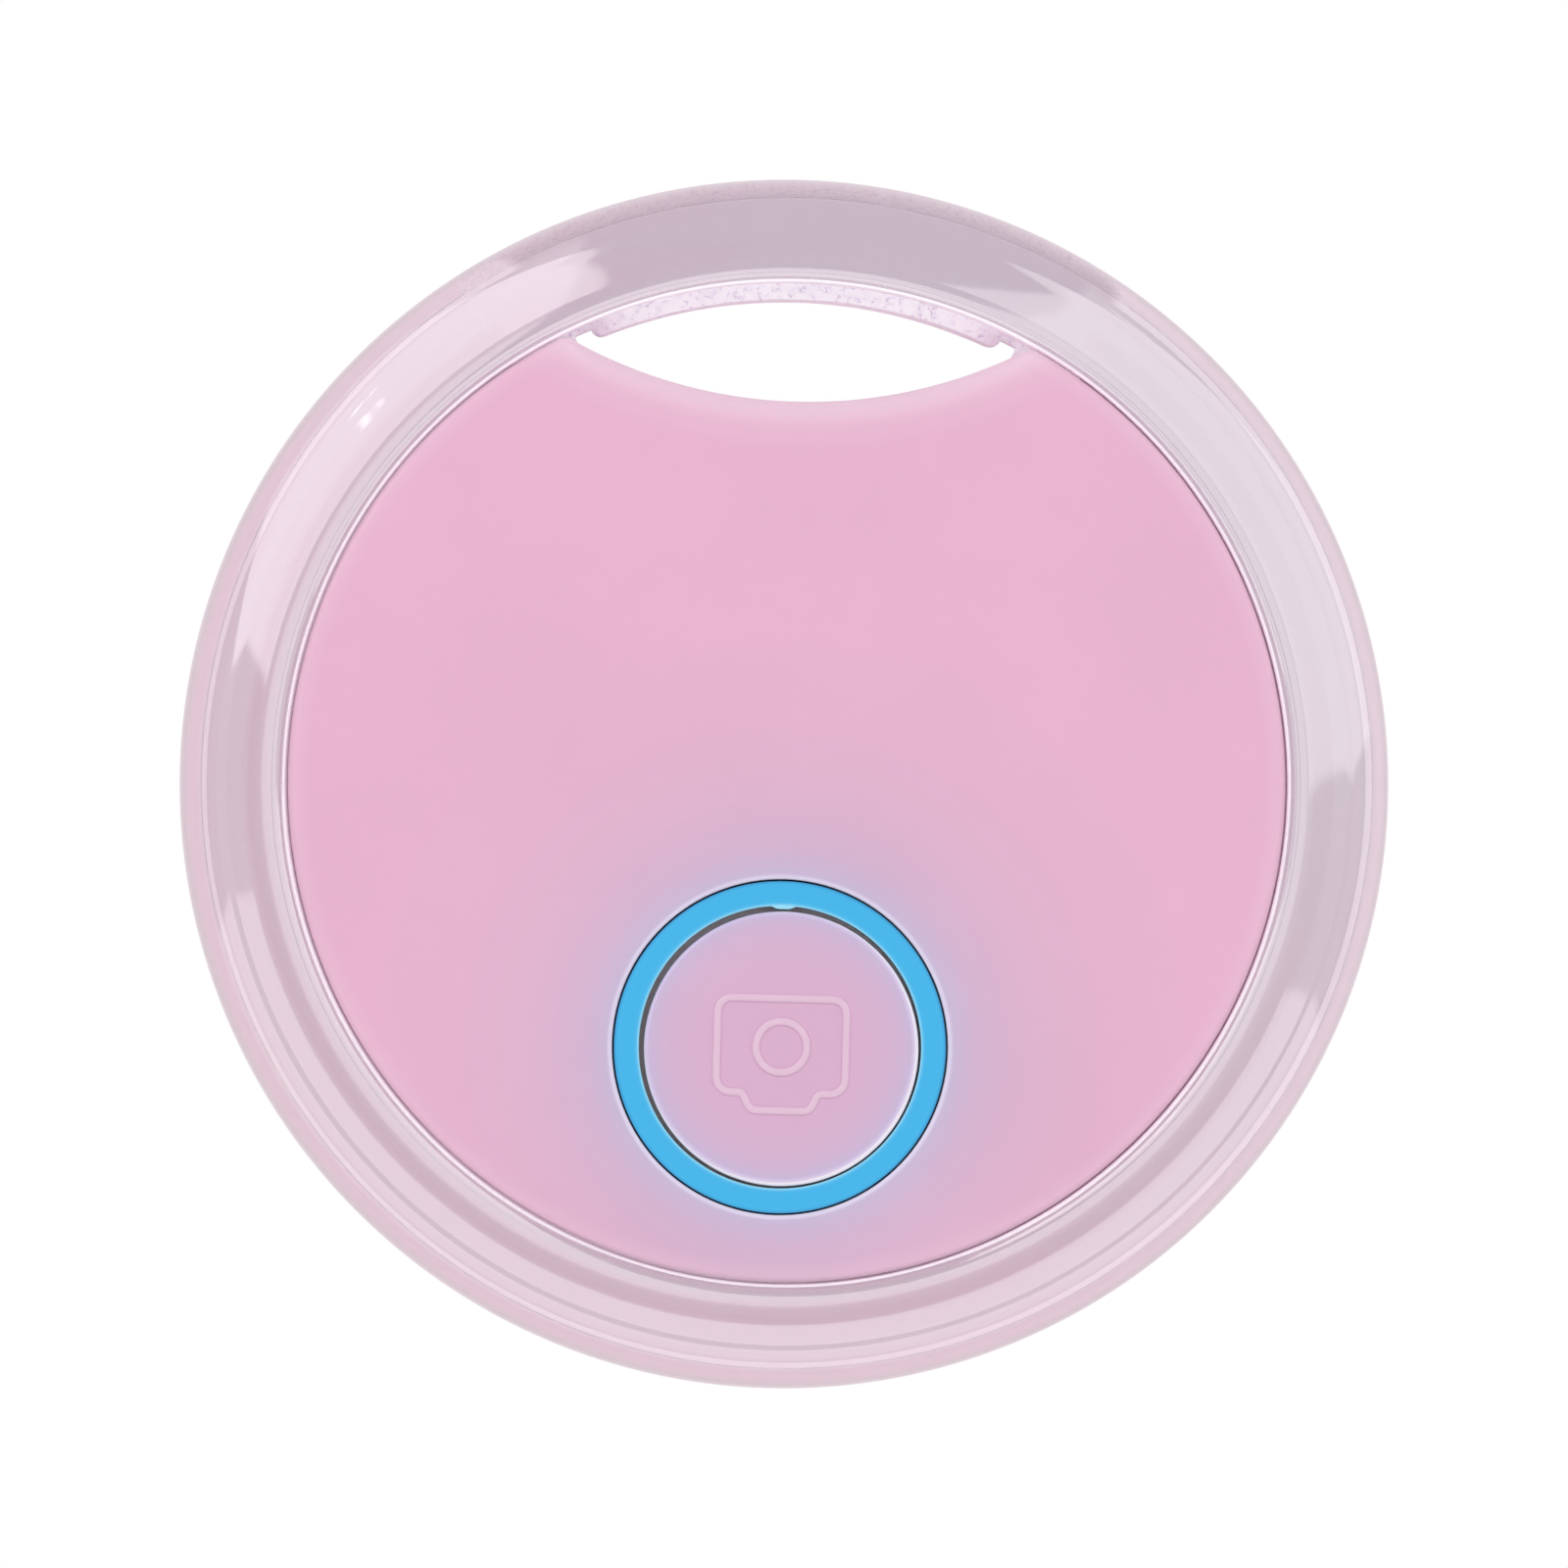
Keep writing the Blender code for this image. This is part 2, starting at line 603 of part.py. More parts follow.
def tact_switch():
    spot = (BUTTON_SHIFT[0], BUTTON_Y + BUTTON_SHIFT[1])
    side = 3.7 * MM
    floor = BOARD_TOP + 0.15 * MM
    wall_top = 2.12 * MM
    base = block(
        "switch_base", (side, side, wall_top - BOARD_TOP - SOLDER), BOARD_TOP + SOLDER, BLACK, spot,
    )
    cut(base, rod("switch_cavity", 1.5 * MM, floor, wall_top + MM, at=(*spot, 0)))
    frame = block("switch_frame", (side, side, 0.1 * MM), wall_top + 0.03 * MM, STEEL, spot)
    cut(frame, rod("frame_hole", 0.85 * MM, MM, 3 * MM, at=(*spot, 0)))
    # The snap dome: a thin cap, closed by giving a shallow arc a thickness as it turns.
    rim, rise, thick = 1.3 * MM, 0.22 * MM, 0.05 * MM
    low = floor + 0.03 * MM
    upper = [(rim * i / 5, low + thick + rise * (1 - (i / 5) ** 2)) for i in range(6)]
    lower = [(r, z - thick) for r, z in reversed(upper)]
    turned("switch_dome", [*upper, *lower], STEEL, at=(*spot, 0), steps=24)
    stem_low = 1.98 * MM
    turned(
        "switch_plunger",
        [
            (0, BUTTON_FOOT - THIN_FIT), (0.7 * MM, BUTTON_FOOT - THIN_FIT),
            (0.7 * MM, stem_low + 0.14 * MM), (1.0 * MM, stem_low + 0.14 * MM),
            (1.0 * MM, stem_low), (0, stem_low),
        ],
        CERAMIC, at=(*spot, 0), steps=24,
    )


# Board and electronics -------------------------------------------------------------------


def circuit_board():
    board = prism("circuit_board", body_outline(BOARD_INSET), BOARD_Z, BOARD_TOP, BOARD)
    for side, sign in (("left", -1), ("right", 1)):
        spot = (sign * SCREW_XY[0], SCREW_XY[1], 0)
        cut(board, rod(f"board_notch_{side}", BOSS_RADIUS + 0.2 * MM, 0, 3 * MM, at=spot))


def board_components():
    """Packages on the board's front, clear of the light guide and of the piezo disc."""
    low = BOARD_TOP + SOLDER
    packages = [
        ("bluetooth_chip", (5.0, 5.0, 0.85), (-8.9, -4.2), 0, BLACK),
        ("crystal", (3.2, 2.5, 0.7), (-9.6, 0.6), 90, STEEL),
        ("chip_antenna", (2.0, 5.0, 1.0), (10.6, -5.2), -24, CERAMIC),
        ("buzzer_inductor", (2.5, 2.0, 1.1), (8.6, 0.8), 90, BLACK),
    ]
    for i, (x, y) in enumerate([(-11.9, 1.0), (8.2, -3.6), (8.2, -5.4), (-7.2, 0.4)]):
        packages.append((f"capacitor_{i + 1}", (1.6, 0.8, 0.75), (x, y), 90, TAN))
    for i, (x, y) in enumerate([(11.3, 1.4), (-3.9, -1.2), (3.9, -1.2)]):
        packages.append((f"resistor_{i + 1}", (1.6, 0.8, 0.45), (x, y), 0, BLACK))
    for name, size, spot, degrees, spec in packages:
        block(
            name, tuple(s * MM for s in size), low, spec, tuple(s * MM for s in spot),
            math.radians(degrees), round_edges=0.05 * MM,
        )


def piezo_sounder():
    at = (0, PIEZO_Y, 0)
    inner_face = FACE_Z - WALL
    glue = washer(4.9 * MM, PIEZO_RADIUS, 2.79 * MM, inner_face - 0.02 * MM)
    turned("piezo_adhesive", glue, TAPE, at=at, steps=40)
    rod("piezo_plate", PIEZO_RADIUS, 2.57 * MM, 2.77 * MM, BRASS, at, sides=40)
    rod("piezo_ceramic", 4.2 * MM, 2.38 * MM, 2.55 * MM, CERAMIC, at, sides=40)


def piezo_leads():
    """Two short leads from the sounder down to pads on the board."""
    radius = 0.18 * MM
    low, high = BOARD_TOP + radius + 0.03 * MM, 2.38 * MM - radius - 0.03 * MM
    routes = {
        "piezo_lead_red": (
            RED_LEAD, [(-3.4, 4.0, high), (-4.6, 3.9, high), (-6.0, 3.6, low), (-7.4, 3.5, low)],
        ),
        "piezo_lead_black": (
            BLACK_LEAD, [(-4.6, 5.8, high), (-5.6, 5.9, high), (-6.9, 6.1, low), (-8.2, 6.2, low)],
        ),
    }
    for name, (spec, stops) in routes.items():
        points = [Vector((x * MM, y * MM, z)) for x, y, z in stops]
        curve = bpy.data.curves.new(name, "CURVE")
        curve.dimensions = "3D"
        curve.bevel_depth = radius
        curve.bevel_resolution = 2
        curve.use_fill_caps = True
        spline = curve.splines.new("POLY")
        steps = 12
        spline.points.add(steps)
        for i, point in enumerate(spline.points):
            t = i / steps
            weights = ((1 - t) ** 3, 3 * t * (1 - t) ** 2, 3 * t * t * (1 - t), t**3)
            spot = sum((p * w for p, w in zip(points, weights)), Vector())
            point.co = (*spot, 1)
        place(name, curve, spec)


# Coin cell and its contacts --------------------------------------------------------------


def coin_cell():
    at = (0, CELL_Y, 0)
    bottom, edge = CELL_BOTTOM, 0.25 * MM
    rim_top = bottom + 2.9 * MM
    wall, floor = 0.25 * MM, 0.3 * MM
    inner = CELL_RADIUS - wall
    turned(
        "cell_can",
        [
            (0, bottom + floor), (inner, bottom + floor), (inner, rim_top), (CELL_RADIUS, rim_top),
            (CELL_RADIUS, bottom + edge), (CELL_RADIUS - edge, bottom), (0, bottom),
        ],
        STEEL, at=at, steps=56,
    )
    cap = 8.7 * MM
    top = bottom + CELL_HEIGHT
    low = bottom + floor + 0.05 * MM
    gasket = washer(cap + 0.08 * MM, inner - 0.08 * MM, low, rim_top - 0.1 * MM)
    turned("cell_gasket", gasket, GASKET, at=at, steps=48)
    turned(
        "cell_cap",
        [(0, top), (cap - edge, top), (cap, top - edge), (cap, low), (0, low)],
        STEEL, at=at, steps=48,
    )


def strip(name, centre_line, thick, width, spec, at, turn=0.0):
    """A bent metal strip: a line in the XZ plane given a thickness and a width."""
    upper, lower = [], []
    for i, (x, z) in enumerate(centre_line):
        before = Vector(centre_line[max(i - 1, 0)])
        after = Vector(centre_line[min(i + 1, len(centre_line) - 1)])
        along = (after - before).normalized()
        upper.append((x - along.y * thick / 2, z + along.x * thick / 2))
        lower.append((x + along.y * thick / 2, z - along.x * thick / 2))
    work = bmesh.new()
    outline = upper + lower[::-1]
    face = work.faces.new([work.verts.new((x, -width / 2, z)) for x, z in outline])
    raised = bmesh.ops.extrude_face_region(work, geom=[face])["geom"]
    raised = [v for v in raised if isinstance(v, bmesh.types.BMVert)]
    bmesh.ops.translate(work, verts=raised, vec=(0, width, 0))
    return place(name, mesh_from(name, work), spec, at, turn)


def battery_contacts():
    half, low, high = 4.5 * MM, 0.36 * MM, BOARD_Z - 0.11 * MM
    steps = 12
    bow = []
    for i in range(steps + 1):
        x = -half + 2 * half * i / steps
        share = min(1.0, abs(x) / (half * 0.8))
        bow.append((x, low + (high - low) * share * share * (3 - 2 * share)))
    strip("negative_contact", bow, 0.12 * MM, 3.0 * MM, GOLD, (0, CELL_Y, 0))
    blade, foot = CELL_RADIUS + 0.17 * MM, CELL_RADIUS + 1.5 * MM
    top = BOARD_Z - 0.13 * MM
    hook = [
        (blade + 0.25 * MM, -0.78 * MM), (blade, -0.55 * MM), (blade + 0.15 * MM, 0.0),
        (blade + 0.25 * MM, top - 0.2 * MM), (blade + 0.45 * MM, top), (foot, top),
    ]
    for side, turn in (("left", math.pi), ("right", 0.0)):
        strip(f"positive_contact_{side}", hook, 0.15 * MM, 2.6 * MM, GOLD, (0, CELL_Y, 0), turn)


clear_ring()
front_shell()
rear_shell()
case_screws()
battery_cover()
cover_seal()
button_cap()
light_ring()
leds()
tact_switch()
circuit_board()
board_components()
piezo_sounder()
piezo_leads()
coin_cell()
battery_contacts()
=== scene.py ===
"""The looks of the bluetooth tracker tag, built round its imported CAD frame.

Each visible piece is modelled lying flat, as the CAD is: the disc's axis is Z, the front face
is at +Z and the key-ring opening at +Y. FLAT then stands it up in the row frame, where the
front faces -Y and the opening is at the top. Sizes are in metres.
"""

import math

import bmesh
import bpy
from mathutils import Matrix, Vector


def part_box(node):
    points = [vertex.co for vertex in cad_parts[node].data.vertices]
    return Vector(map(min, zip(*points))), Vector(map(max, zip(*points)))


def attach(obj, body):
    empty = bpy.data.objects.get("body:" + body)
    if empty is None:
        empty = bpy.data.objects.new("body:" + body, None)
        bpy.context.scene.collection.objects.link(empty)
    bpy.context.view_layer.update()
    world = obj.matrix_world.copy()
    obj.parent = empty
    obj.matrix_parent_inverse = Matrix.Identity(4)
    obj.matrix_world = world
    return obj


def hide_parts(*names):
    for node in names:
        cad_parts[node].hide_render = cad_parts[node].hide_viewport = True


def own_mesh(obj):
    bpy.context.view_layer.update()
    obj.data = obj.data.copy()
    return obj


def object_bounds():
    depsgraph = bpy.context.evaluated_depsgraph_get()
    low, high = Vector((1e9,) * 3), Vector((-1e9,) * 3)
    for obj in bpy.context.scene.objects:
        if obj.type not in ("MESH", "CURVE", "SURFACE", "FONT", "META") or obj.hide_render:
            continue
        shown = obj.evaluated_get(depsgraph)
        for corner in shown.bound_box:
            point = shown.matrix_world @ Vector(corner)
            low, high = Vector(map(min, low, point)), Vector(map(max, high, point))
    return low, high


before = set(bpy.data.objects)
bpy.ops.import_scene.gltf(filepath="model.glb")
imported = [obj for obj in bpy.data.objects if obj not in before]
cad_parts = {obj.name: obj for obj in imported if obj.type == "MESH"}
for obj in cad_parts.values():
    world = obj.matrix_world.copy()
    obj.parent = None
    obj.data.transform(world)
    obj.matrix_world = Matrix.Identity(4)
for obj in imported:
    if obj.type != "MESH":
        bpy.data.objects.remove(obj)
cad_low, cad_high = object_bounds()

MM = 0.001
TURN = math.tau
EYE_RADIUS = 15.17 * MM  # inner face of the wear pad, where a key ring bears: the row's origin
FLAT = Matrix.Translation((0, 0, -EYE_RADIUS)) @ Matrix.Rotation(math.pi / 2, 4, "X")

PAD_END = 6.49  # how far round from twelve o'clock the wear pad reaches, in mm at EYE_RADIUS
FLANGE_END = 7.04  # the same for the flange's open part, beside the key-ring opening
BODY_RADIUS = 15.63 * MM
CUT_RADIUS = 15.2 * MM  # the casing's concave bite, which is the opening's lower edge
CUT_CENTRE_Y = 27.16 * MM
TIP_RADIUS = 0.42 * MM  # rounding of the corner between the disc and the bite
FACE_Z = 4.0 * MM
PARTING_Z = 0.55 * MM
ROOF_Z = 2.9 * MM  # inside of the front wall
WALL = 1.1 * MM
BUTTON = (0.0, -8.28 * MM)
CAP_CENTRE = (BUTTON[0] + 0.04 * MM, BUTTON[1] - 0.05 * MM)  # a little off in its clearance
BUTTON_HOLE = 5.26 * MM
LIGHT_BORE = 4.42 * MM
CELL = (0.0, -1.75 * MM)
SCREWS = ((-8.6 * MM, 9.9 * MM), (8.6 * MM, 9.9 * MM))
THREAD_LEAD = 7.2 * MM
LUG_HALF_ANGLE = math.radians(20)
LUG_HALF_THICK = 0.25 * MM
SHARP_ANGLE = math.radians(38)  # edges that fold more than this are shaded as sharp


# Geometry helpers ------------------------------------------------------------------------


def circle(radius, z, centre=(0.0, 0.0), count=128):
    """A loop of points round a circle at height z."""
    return [(*circle_point(centre, radius, TURN * i / count), z) for i in range(count)]


def circle_point(centre, radius, angle):
    return centre[0] + radius * math.cos(angle), centre[1] + radius * math.sin(angle)


def add_loop(work, points):
    return [work.verts.new(p) for p in points]


def skin(work, loops, closed=False):
    """Quads between successive vertex loops, each of which closes on itself."""
    pairs = list(zip(loops, loops[1:] + loops[:1] if closed else loops[1:]))
    for first, second in pairs:
        count = len(first)
        for i in range(count):
            j = (i + 1) % count
            work.faces.new((first[i], first[j], second[j], second[i])).smooth = True


def flat_fill(work, *loops):
    """One flat face, with holes, between vertex loops that lie in a plane."""
    edges = []
    for loop in loops:
        for a, b in zip(loop, loop[1:] + loop[:1]):
            edges.append(work.edges.get((a, b)) or work.edges.new((a, b)))
    made = bmesh.ops.triangle_fill(work, use_beauty=True, use_dissolve=False, edges=edges)
    for item in made["geom"]:
        if isinstance(item, bmesh.types.BMFace):
            item.smooth = False


def lathe(work, profile, centre=(0.0, 0.0), count=128, closed=False):
    """A profile of (radius, z) points turned round Z. Returns its vertex loops."""
    loops = [add_loop(work, circle(r, z, centre, count)) for r, z in profile]
    skin(work, loops, closed)
    return loops


def fillet(r0, z0, r1, z1, steps, bulge):
    """Points of a quarter round from (r0, z0) to (r1, z1). The corner it rounds off is
    (r1, z0) with bulge "side", or (r0, z1) with bulge "end"."""
    points = []
    for i in range(steps + 1):
        a = math.pi / 2 * i / steps
        if bulge == "side":
            points.append((r0 + (r1 - r0) * math.sin(a), z0 + (z1 - z0) * (1 - math.cos(a))))
        else:
            points.append((r0 + (r1 - r0) * (1 - math.cos(a)), z0 + (z1 - z0) * math.sin(a)))
    return points


def arc(centre, radius, start, end, steps):
    angles = [start + (end - start) * i / steps for i in range(steps + 1)]
    return [circle_point(centre, radius, a) for a in angles]


def at_height(outline, z):
    return [(x, y, z) for x, y in outline]


def body_outline(inset=0.0, disc_steps=240, tip_steps=8, bite_steps=64):
    """The casing's outline, with this much taken off: a disc with a concave bite at +Y. The
    same step counts give outlines whose points match."""
    tip = max(TIP_RADIUS - inset, 0.03 * MM)
    radius, bite = BODY_RADIUS - inset, CUT_RADIUS + inset
    from_disc, from_bite = radius - tip, bite + tip
    y = (from_disc**2 - from_bite**2 + CUT_CENTRE_Y**2) / (2 * CUT_CENTRE_Y)
    x = math.sqrt(from_disc**2 - y**2)
    edge, dip = math.atan2(y, x), math.atan2(y - CUT_CENTRE_Y, x)
    outline = arc((0, 0), radius, math.pi - edge, TURN + edge, disc_steps)
    outline += arc((x, y), tip, edge, dip + math.pi, tip_steps)[1:]
    outline += arc((0, CUT_CENTRE_Y), bite, dip, -math.pi - dip, bite_steps)[1:]
    outline += arc((-x, y), tip, -dip, math.pi - edge, tip_steps)[1:-1]
    return outline


def rounded(corners, steps=6):
    """A closed outline from (x, y, radius) corners, each rounded by its radius."""
    points = []
    for i, (x, y, radius) in enumerate(corners):
        here = Vector((x, y))
        to_last = (Vector(corners[i - 1][:2]) - here).normalized()
        to_next = (Vector(corners[(i + 1) % len(corners)][:2]) - here).normalized()
        half = to_last.angle(to_next) / 2
        centre = here + (to_last + to_next).normalized() * (radius / math.sin(half))
        first = here + to_last * (radius / math.tan(half)) - centre
        last = here + to_next * (radius / math.tan(half)) - centre
        sweep = first.angle_signed(last)
        for k in range(steps + 1):
            spoke = first.copy()
            spoke.rotate(Matrix.Rotation(-sweep * k / steps, 2))
            points.append(tuple(centre + spoke))
    return points


def resample(points, spacing):
    """The same closed line with points at even spacing along it."""
    ring = [Vector(p) for p in points] + [Vector(points[0])]
    lengths = [(b - a).length for a, b in zip(ring, ring[1:])]
    total = sum(lengths)
    count = max(8, round(total / spacing))
    out, k, walked = [], 0, 0.0
    for i in range(count):
        target = total * i / count
        while walked + lengths[k] < target:
            walked += lengths[k]
            k += 1
        t = (target - walked) / lengths[k]
        out.append(tuple(ring[k].lerp(ring[k + 1], t)))
    return out


def stroke(work, middle, section, base):
    """A raised line along a closed path: section is (offset across, height) points."""
    count = len(middle)
    loops = [[] for _ in section]
    for i in range(count):
        here = Vector(middle[i])
        along = (Vector(middle[(i + 1) % count]) - Vector(middle[i - 1])).normalized()
        across = Vector((along.y, -along.x))
        for loop, (offset, height) in zip(loops, section):
            p = here + across * offset
            loop.append(work.verts.new((p.x, p.y, base + height)))
    skin(work, loops, closed=True)


def piece(name, work, body, materials, nodes):
    """Stands the mesh up in the row frame and makes it a piece of the object, in place of
    these CAD nodes."""
    bmesh.ops.recalc_face_normals(work, faces=work.faces)
    work.transform(FLAT)
    mesh = bpy.data.meshes.new(name)
    work.to_mesh(mesh)
    work.free()
    mesh.set_sharp_from_angle(angle=SHARP_ANGLE)
    made = bpy.data.objects.new(name, mesh)
    bpy.context.scene.collection.objects.link(made)
    for material in materials:
        mesh.materials.append(material)
    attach(made, body)
    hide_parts(*nodes)
    return made


# Material helpers ------------------------------------------------------------------------


def srgb(*channels):
    """Linear values of a colour given as 0 to 255 display channels."""
    out = []
    for c in channels:
        c /= 255
        out.append(c / 12.92 if c <= 0.04045 else ((c + 0.055) / 1.055) ** 2.4)
    return out


class Shader:
    """A Principled material with short calls for the nodes that feed it."""

    def __init__(self, name, colour=(0.8, 0.8, 0.8), **settings):
        self.material = bpy.data.materials.new(name)
        self.material.use_nodes = True
        self.tree = self.material.node_tree
        self.out = self.tree.nodes["Principled BSDF"]
        self.out.inputs["Base Color"].default_value = (*colour, 1)
        for key, value in settings.items():
            self.out.inputs[key.replace("_", " ")].default_value = value
        self.place = self.tree.nodes.new("ShaderNodeTexCoord").outputs["Object"]

    def node(self, kind, inputs=None, **settings):
        made = self.tree.nodes.new("ShaderNode" + kind)
        for key, value in settings.items():
            setattr(made, key, value)
        for key, value in (inputs or {}).items():
            if isinstance(value, bpy.types.NodeSocket):
                self.tree.links.new(value, made.inputs[key])
            else:
                made.inputs[key].default_value = value
        return made

    def math(self, operation, a, b=0.0):
        return self.node("Math", {0: a, 1: b}, operation=operation).outputs[0]

    def feed(self, socket, value):
        self.tree.links.new(value, self.out.inputs[socket])

    def radius(self, centre=(0.0, 0.0)):
        """Distance, in millimetres, from a line along Y through a point of the flat frame."""
        offset = (-centre[0], 0.0, EYE_RADIUS - centre[1])
        moved = self.node("VectorMath", {0: self.place, 1: offset}, operation="ADD").outputs[0]
        flat = self.node("VectorMath", {0: moved, 1: (1, 0, 1)}, operation="MULTIPLY").outputs[0]
        length = self.node("VectorMath", {0: flat}, operation="LENGTH").outputs["Value"]
        return self.math("MULTIPLY", length, 1 / MM)

    def height(self):
        """Height in the flat frame, in millimetres."""
        depth = self.node("SeparateXYZ", {0: self.place}).outputs[1]
        return self.math("MULTIPLY", depth, -1 / MM)

    def noise(self, scale, detail=2.0, roughness=0.5, stretch=None):
        vector = self.place
        if stretch:
            vector = self.node("Mapping", {"Vector": vector, "Scale": stretch}).outputs[0]
        return self.node(
            "TexNoise",
            {"Vector": vector, "Scale": scale, "Detail": detail, "Roughness": roughness},
        ).outputs["Fac"]

    def ramp(self, value, stops, low=0.0, high=1.0):
        """Colours or greys along a value. stops are (position between low and high, colour)."""
        scaled = self.node(
            "MapRange", {0: value, 1: low, 2: high, 3: 0.0, 4: 1.0}, clamp=True
        ).outputs[0]
        made = self.node("ValToRGB", {0: scaled})
        elements = made.color_ramp.elements
        while len(elements) < len(stops):
            elements.new(0.5)
        for element, (at, colour) in zip(elements, stops):
            element.position = (at - low) / (high - low)
            colour = colour if isinstance(colour, (list, tuple)) else [colour] * 3
            element.color = (*colour, 1)
        return made.outputs[0]

    def mix(self, share, a, b, blend="MIX"):
        made = self.node("Mix", data_type="RGBA", blend_type=blend)
        for index, value in ((0, share), (6, a), (7, b)):
            if isinstance(value, bpy.types.NodeSocket):
                self.tree.links.new(value, made.inputs[index])
            elif index == 0:
                made.inputs[index].default_value = value
            else:
                made.inputs[index].default_value = (*value, 1)
        return made.outputs[2]

    def bump(self, height, distance, strength=1.0):
        made = self.node("Bump", {"Height": height, "Distance": distance, "Strength": strength})
        self.feed("Normal", made.outputs[0])


# Materials -------------------------------------------------------------------------------

PINK = srgb(234, 169, 204)


def pink_plastic(name, glow=(), face=False, icon=False):
    """Satin moulded plastic with a fine spark-eroded grain. glow is painted light: the light
    ring's spill and painted edge highlights beside it, painted into the colour as (radius in mm
    from the button's axis, display colour) stops. A face has painted light along the bite,
    where it is narrow, and a painted highlight on its rim beside the clear ring; an icon is
    paler where it is raised."""
    roughness = 0.42
    shader = Shader(name, PINK, Roughness=roughness, IOR=1.46)
    darker, lighter = [c * 0.985 for c in PINK], [c * 1.012 for c in PINK]
    shade = shader.ramp(shader.noise(160, 3), [(0.35, darker), (0.65, lighter)])
    # glow is painted light: the light ring's spill and edge highlights, multiplied into the colour.
    if glow:
        farthest = glow[-1][0]
        painted_glow_colour = shader.ramp(
            shader.radius(BUTTON),
            [(r, [c / p for c, p in zip(srgb(*colour), PINK)]) for r, colour in glow],
            0.0, farthest,
        )
        shade = shader.mix(1.0, shade, painted_glow_colour, "MULTIPLY")
    if face:
        # Painted light along the bite: a paler band standing in for light through the narrow edge
        # and a highlight on its rounding.
        from_bite = shader.radius((0.0, CUT_CENTRE_Y))
        edge = CUT_RADIUS / MM
        painted_bite_light = shader.ramp(
            from_bite, [(edge, 0.8), (edge + 0.35, 0.5), (edge + 0.9, 0.12), (edge + 1.6, 0.0)],
            edge, edge + 2.0,
        )
        shade = shader.mix(painted_bite_light, shade, srgb(248, 222, 236))
        # Painted highlight along the face's rounded rim beside the clear ring.
        rim = shader.ramp(shader.radius(), [(15.0, 0.0), (15.6, 0.35)], 14.5, 16.0)
        shade = shader.mix(rim, shade, srgb(244, 206, 226))
    if icon:
        raised = shader.ramp(shader.height(), [(4.14, 0.0), (4.17, 1.0)], 4.0, 4.3)
        shade = shader.mix(raised, shade, srgb(233, 198, 221))
    shader.feed("Base Color", shade)
    grain = shader.noise(9000, 4, 0.6)
    shader.feed("Roughness", shader.ramp(grain, [(0.3, roughness - 0.05), (0.7, roughness + 0.06)]))
    shader.bump(grain, 0.00001, 0.25)
    return shader.material


def clear_plastic():
    """Clear polycarbonate with a mauve cast. The pink of the casing, seen through the ring, is
    painted into its colour as a painted refraction, in a band beside the bore and at the rim,
    more so on the lower-left side, away from the opening; the colour is lighter by the bore, a
    painted highlight."""
    shader = Shader(
        "clear_ring", Roughness=0.05, IOR=1.5, Transmission_Weight=0.8, Coat_Weight=1.0,
        Coat_IOR=1.7, Coat_Roughness=0.03,
    )
    reach = shader.radius()
    # Lighter by the bore, a painted highlight, and pinker at the rim, a painted refraction of the
    # casing.
    plain = shader.ramp(
        reach,
        [(15.7, srgb(252, 244, 252)), (16.1, srgb(240, 230, 241)), (17.6, srgb(238, 227, 238)),
         (18.2, srgb(241, 228, 240)), (18.7, srgb(244, 216, 232)), (18.9, srgb(248, 226, 238))],
        15.5, 19.0,
    )
    # Painted refraction of the casing's pink: a band beside the bore and a pinker rim.
    painted_refraction = shader.ramp(
        reach,
        [(16.1, srgb(243, 230, 241)), (16.4, srgb(242, 213, 230)), (16.85, srgb(240, 206, 225)),
         (17.15, srgb(244, 224, 237)), (18.0, srgb(246, 224, 238)), (18.4, srgb(250, 212, 231)),
         (18.75, srgb(244, 192, 214)), (18.9, srgb(248, 212, 228))],
        15.5, 19.0,
    )
    # The painted refraction is strongest on the lower-left, away from the opening.
    toward_lower_left = (-0.7, 0, -0.7)
    along = shader.node(
        "VectorMath", {0: shader.place, 1: toward_lower_left}, operation="DOT_PRODUCT",
    ).outputs["Value"]
    share = shader.ramp(along, [(-0.004, 0.0), (0.016, 1.0)], -0.03, 0.05)
    cloud = shader.noise(220, 3)
    mottled = shader.mix(shader.ramp(cloud, [(0.4, 0.0), (0.7, 0.12)]), plain, srgb(228, 216, 228))
    shader.feed("Base Color", shader.mix(share, mottled, painted_refraction))
    shader.bump(shader.noise(700, 2), 0.00002, 0.03)
    return shader.material


def sanded_plastic(name, stops, strength, glow):
    """The same plastic with a sanded surface, its grain in greys from these stops. glow is painted
    light: an emission that stands in for the light that comes through it from behind."""
    shader = Shader(name, IOR=1.52, Transmission_Weight=0.08, Emission_Strength=glow)
    shader.out.inputs["Emission Color"].default_value = (*srgb(250, 243, 251), 1)
    grit = shader.noise(6500, 4, 0.7)
    shader.feed("Base Color", shader.ramp(grit, stops))
    shader.feed("Roughness", shader.ramp(grit, [(0.35, 0.3), (0.65, 0.6)]))
    shader.bump(grit, 0.00004, strength)
    return shader.material


